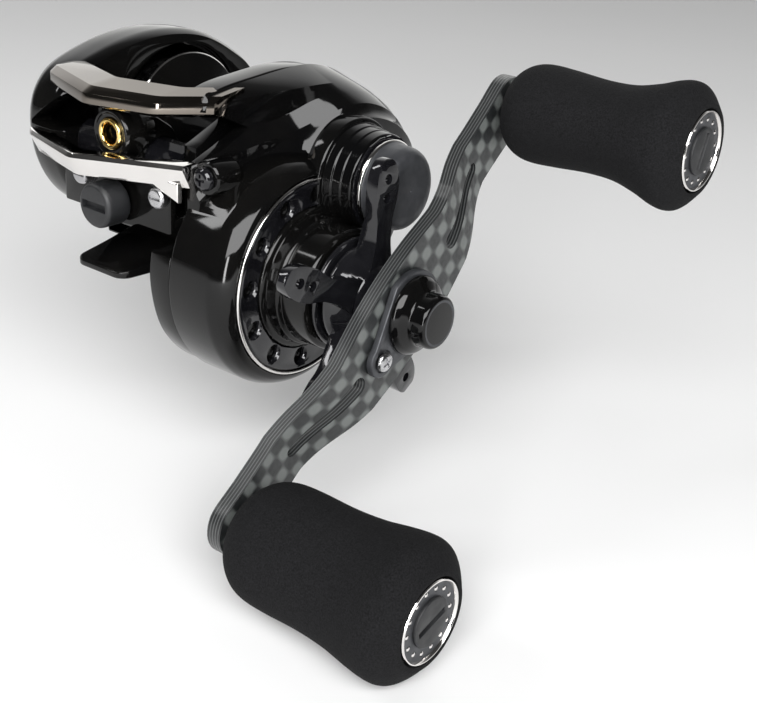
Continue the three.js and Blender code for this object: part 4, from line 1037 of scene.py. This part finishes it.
def build_handle_hardware():
    plate = solid(on_handle(prism(linked((0, 0), 8.2, (-10.4, 0), 3.2, 96), 55.75, 57.1, "yz", 0.25)))
    cut(plate, cylinder((54, 60), 4.8, DRIVE))
    screw_at = polar(DRIVE, 10.4, HANDLE_ANGLE + 180)
    cut(plate, cylinder((56.6, 60), 2.15, screw_at), cylinder((54, 60), 1.0, screw_at))
    edges(plate, 0.12)
    piece(plate, "nut_retainer", "crank", GREY, ("retainer_plate",))
    screw = solid(lathe([
        (53.3, 0), (53.3, 0.85), (57.0, 0.85), (57.0, 1.75), (57.35, 1.9), (57.8, 1.75), (58.1, 1.2),
        (58.2, 0),
    ], screw_at, segments=48, rounding=0.15))
    cut(screw, *cross_slot((57.6, 59), screw_at, 1.15, 0.2, 25))
    edges(screw, 0.05)
    piece(screw, "retainer_screw_head", "crank", STEEL, ("retainer_screw",))
    nut = solid(prism(disc(DRIVE, 4.6, 6), 55.8, 59.8, "yz", 0.3))
    cut(nut, cylinder((54, 61), 2.95, DRIVE))
    cap = lathe([
        (61.2, 0), (61.2, 4.9), (57.25, 4.9), (57.25, 7.2), (57.45, 7.4), (58.1, 7.35), (58.9, 6.7),
        (59.5, 5.75),
        (59.9, 5.15), (60.4, 5.02), (62.2, 5.0), (62.75, 4.8), (63.0, 4.45), (63.0, 0),
    ], DRIVE, rounding=0.25)
    piece(edges(nut, 0.1), "shaft_nut", "crank", STEEL, ("handle_nut",))
    piece(cap, "nut_cover", "crank", BLACK, ("nut_cap",), 28)
    face = lathe([(62.9, 0), (62.9, 4.3), (63.02, 4.3), (63.04, 4.0), (62.98, 3.8), (62.98, 0)], DRIVE)
    piece(face, "nut_cover_face", "crank", GREY, (), 28)


# A grip's rows as (x, half width, half height)
GRIP_ROWS = [
    (52.6, 6.0, 5.8), (53.4, 8.0, 7.4), (55.6, 9.9, 8.8), (58.4, 10.8, 9.3), (63, 11.0, 9.1),
    (70, 10.9, 8.6),
    (76, 11.3, 8.8), (81, 12.1, 10.0), (84.6, 12.5, 11.3), (86.8, 12.3, 11.6), (88.4, 11.2, 10.9),
    (90.6, 8.4, 8.4),
]


def build_knob(i, name):
    body = f"knob_{name}"
    y, z = KNOB_CENTRES[i]
    loops = []
    for x, wide, narrow in blended(GRIP_ROWS, 6):
        loops.append([(x, wide * math.cos(a), narrow * math.sin(a))
                      for a in (math.tau * k / GRIP_FACETS for k in range(GRIP_FACETS))])
    turn = Matrix.Rotation(math.radians(KNOB_TURN[i]), 4, "X")
    grip = solid(moved(skin(loops), Matrix.Translation((0, y, z)) @ turn))
    cut(grip, cylinder((50, 92), 4.8, (y, z)), cylinder((88.0, 92), 7.6, (y, z), ROUND))
    edges(grip, 0.25, 40, 3)
    piece(grip, f"grip_{name}", body, FOAM, (f"knob_grip_{name}",), 45)

    cap = solid(lathe([
        (88.2, 0), (88.2, 7.0), (88.4, 7.15), (90.2, 7.2), (90.3, 6.6), (90.28, 4.55), (90.28, 0),
    ], (y, z), rounding=0.08))
    studs = [polar((y, z), STUD_CIRCLE_R, 360 * k / CAP_STUDS) for k in range(CAP_STUDS)]
    for centre in studs:
        cut(cap, dimple(centre, 0.55, 90.28))
    piece(cap, f"cap_{name}", body, GREY, (f"knob_cap_{name}",), 28)
    rim = lathe([
        (88.3, 7.12), (90.55, 7.25), (90.75, 7.15), (90.78, 6.95), (90.4, 6.7), (90.25, 6.68),
        (90.2, 7.0), (88.3, 7.0),
    ], (y, z))
    piece(rim, f"cap_rim_{name}", body, CHROME, (), 28)
    disc_shape = solid(lathe([(90.2, 0), (90.2, 4.3), (90.75, 4.3), (90.88, 4.15), (90.88, 0)], (y, z)))
    slot = prism([(-3.3, -0.55), (3.3, -0.55), (3.3, 0.55), (-3.3, 0.55)], 90.35, 92)
    spin = Matrix.Rotation(math.radians(CAP_SLOT_TURN[i]), 4, "X")
    cut(disc_shape, moved(slot, Matrix.Translation((0, y, z)) @ spin))
    edges(disc_shape, 0.06)
    piece(disc_shape, f"cap_disc_{name}", body, POLYMER, (), 28)
    for k, centre in enumerate(studs):
        stud = lathe([(90.0, 0), (90.0, 0.44), (90.22, 0.42), (90.34, 0.28), (90.38, 0)], centre,
                     segments=20)
        piece(stud, f"cap_stud_{name}_{k:02d}", body, CHROME, (), 40)

    post = lathe([
        (46.9, 0), (46.9, 2.7), (47.1, 3.0), (47.6, 3.2), (47.6, 2.0), (51.0, 2.0), (51.0, 3.9),
        (51.8, 3.9), (52.0, 3.7), (52.0, 1.9), (87.4, 1.9), (87.4, 0),
    ], (y, z), segments=64)
    piece(post, f"post_{name}", "crank", TURNED, (f"knob_post_{name}",), 28)


def dimple(centre, radius, x):
    return lathe([
        (x - 0.3, 0), (x - 0.22, radius * 0.7), (x, radius), (x + 0.4, radius * 1.2), (x + 0.4, 0),
    ],
                 centre, segments=20)


# ---------------- screws and the release knob
def cross_slot_y(y, centre, reach, width):
    x, z = centre
    return [
        prism([(x - reach, z - width), (x + reach, z - width), (x + reach, z + width),
               (x - reach, z + width)],
              y[0], y[1], "xz"),
        prism([(x - width, z - reach), (x + width, z - reach), (x + width, z + reach),
               (x - width, z + reach)],
              y[0], y[1], "xz"),
    ]


def build_screws():
    bar_screw = solid(lathe([
        (-27.1, 0), (-27.1, 1.3), (-26.9, 1.7), (-26.5, 2.1), (-25.7, 2.2), (-25.7, 1.0), (-23.1, 1.0),
        (-23.1, 0),
    ], BAR_SCREW, "y", 64, 0.1))
    cut(bar_screw, *cross_slot_y((-28.5, -26.6), BAR_SCREW, 1.1, 0.25))
    piece(edges(bar_screw, 0.05), "bar_screw", "frame", TURNED, ("lower_bar_screw",))
    for centre, name in zip(FRONT_SCREWS, ("palm", "gear")):
        head = -29.2 + SCREW_BACK
        screw = solid(lathe([
            (head, 0), (head, 1.5), (head + 0.2, 1.85), (head + 0.6, 2.1), (head + 2, 2.1),
            (head + 2, 1.05), (-24.9, 1.05), (-24.9, 0),
        ], centre, "y", 64, 0.1))
        x, z = centre
        slot = prism([(x - 1.5, z - 0.3), (x + 1.5, z - 0.3), (x + 1.5, z + 0.3), (x - 1.5, z + 0.3)],
                     -31,
                     head + 0.5, "xz")
        cut(screw, slot)
        piece(edges(screw, 0.05), f"front_screw_head_{name}", "frame", STEEL, (f"front_screw_{name}",))
    knob = solid(lathe([
        (-32.6, 0), (-32.6, 3.7), (-32.45, 3.95), (-32.1, 4.25), (-31.5, 4.35), (-27.6, 4.4),
        (-27.2, 4.1), (-27.2, 1.7), (-24.5, 1.7), (-24.5, 0),
    ], RELEASE, "y", ROUND,
                        0.15))
    x, z = RELEASE
    slot = prism([(x - 3.2, z - 0.75), (x + 3.2, z - 0.75), (x + 3.2, z + 0.75), (x - 3.2, z + 0.75)],
                 -34, -31.4, "xz")
    cut(knob, slot)
    piece(edges(knob, 0.15), "release_knob_body", "release_knob", POLYMER, ("release_knob",))


for build in (
    build_frame, build_side_plate, build_drive_cover, build_palm_plate, build_front_bars, build_spool,
    build_line_guide, build_thumb_bar, build_tension_cap, build_star, build_arm,
    build_handle_hardware, build_screws,
):
    build()
build_knob(0, "upper")
build_knob(1, "lower")


# ---------------- camera, floor and light (metres)
LIGHT_AIM = (0.02, 0.0, 0.0)
LIGHT_DISTANCE = 0.9


def add_camera():
    data = bpy.data.cameras.new("camera")
    data.lens = 62.32
    data.sensor_width = 36
    data.clip_start = 0.01
    camera = bpy.data.objects.new("camera", data)
    right = (0.78199, 0.62092, 0.05432)
    up = (-0.29865, 0.29676, 0.90705)
    back = (0.54709, -0.72553, 0.41750)
    place = (0.18236, -0.18437, 0.09307)
    camera.matrix_world = Matrix([(right[i], up[i], back[i],
                                   place[i]) for i in range(3)] + [(0, 0, 0, 1)])
    link(camera)
    bpy.context.scene.camera = camera


def add_floor():
    z = cad_box[0][2] - 0.0002
    reach = 4.0
    mesh = bpy.data.meshes.new("floor")
    mesh.from_pydata([(-reach, -reach, z), (reach, -reach, z), (reach, reach, z), (-reach, reach, z)],
                     [],
                     [(0, 1, 2, 3)])
    floor = bpy.data.objects.new("floor", mesh)
    link(floor)
    paper = look("studio_paper", (0.86, 0.86, 0.86), 0.0, 0.8)
    tinted(paper, 3, (0.85, 0.85, 0.85), (0.88, 0.88, 0.88))
    mesh.materials.append(paper)


def add_softbox(name, azimuth, elevation, size, power):
    """A rectangular soft light aimed at the reel, placed by azimuth and elevation in degrees."""
    data = bpy.data.lights.new(name, "AREA")
    data.shape = "RECTANGLE"
    data.size, data.size_y = size
    data.energy = power
    lamp = bpy.data.objects.new(name, data)
    a, e = math.radians(azimuth), math.radians(elevation)
    offset = Vector((math.cos(e) * math.cos(a), math.cos(e) * math.sin(a), math.sin(e)))
    lamp.location = Vector(LIGHT_AIM) + offset * LIGHT_DISTANCE
    lamp.rotation_euler = offset.to_track_quat("Z", "Y").to_euler()
    link(lamp)


def add_world():
    """A dark studio with pale paper rising behind the reel, brightest low down."""
    world = bpy.data.worlds.new("studio")
    bpy.context.scene.world = world
    world.use_nodes = True
    place = node(world, "ShaderNodeTexCoord")
    behind = node(world, "ShaderNodeVectorMath", operation="DOT_PRODUCT")
    behind.inputs[1].default_value = (-0.59, 0.79, 0.12)
    wire(world, place.outputs["Generated"], behind.inputs[0])
    ramp = node(world, "ShaderNodeValToRGB")
    stops = [(0.0, 0.05), (0.35, 0.06), (0.60, 0.25), (0.78, 1.05), (1.0, 1.35)]
    ramp.color_ramp.elements[0].position, level = stops[0]
    ramp.color_ramp.elements[0].color = (level, level, level, 1)
    ramp.color_ramp.elements[1].position, level = stops[-1]
    ramp.color_ramp.elements[1].color = (level, level, level * 0.98, 1)
    for position, level in stops[1:-1]:
        ramp.color_ramp.elements.new(position).color = (level, level, level, 1)
    wire(world, behind.outputs["Value"], ramp.inputs["Fac"])
    wire(world, ramp.outputs["Color"], world.node_tree.nodes["Background"].inputs["Color"])


add_camera()
add_floor()
add_world()
add_softbox("key", -48, 36, (0.95, 0.5), 13)
add_softbox("left_strip", -140, 42, (0.10, 0.4), 1.2)
add_softbox("rim_strip", -64, 3, (0.10, 0.5), 3.2)
bpy.context.scene.view_settings.view_transform = "Standard"
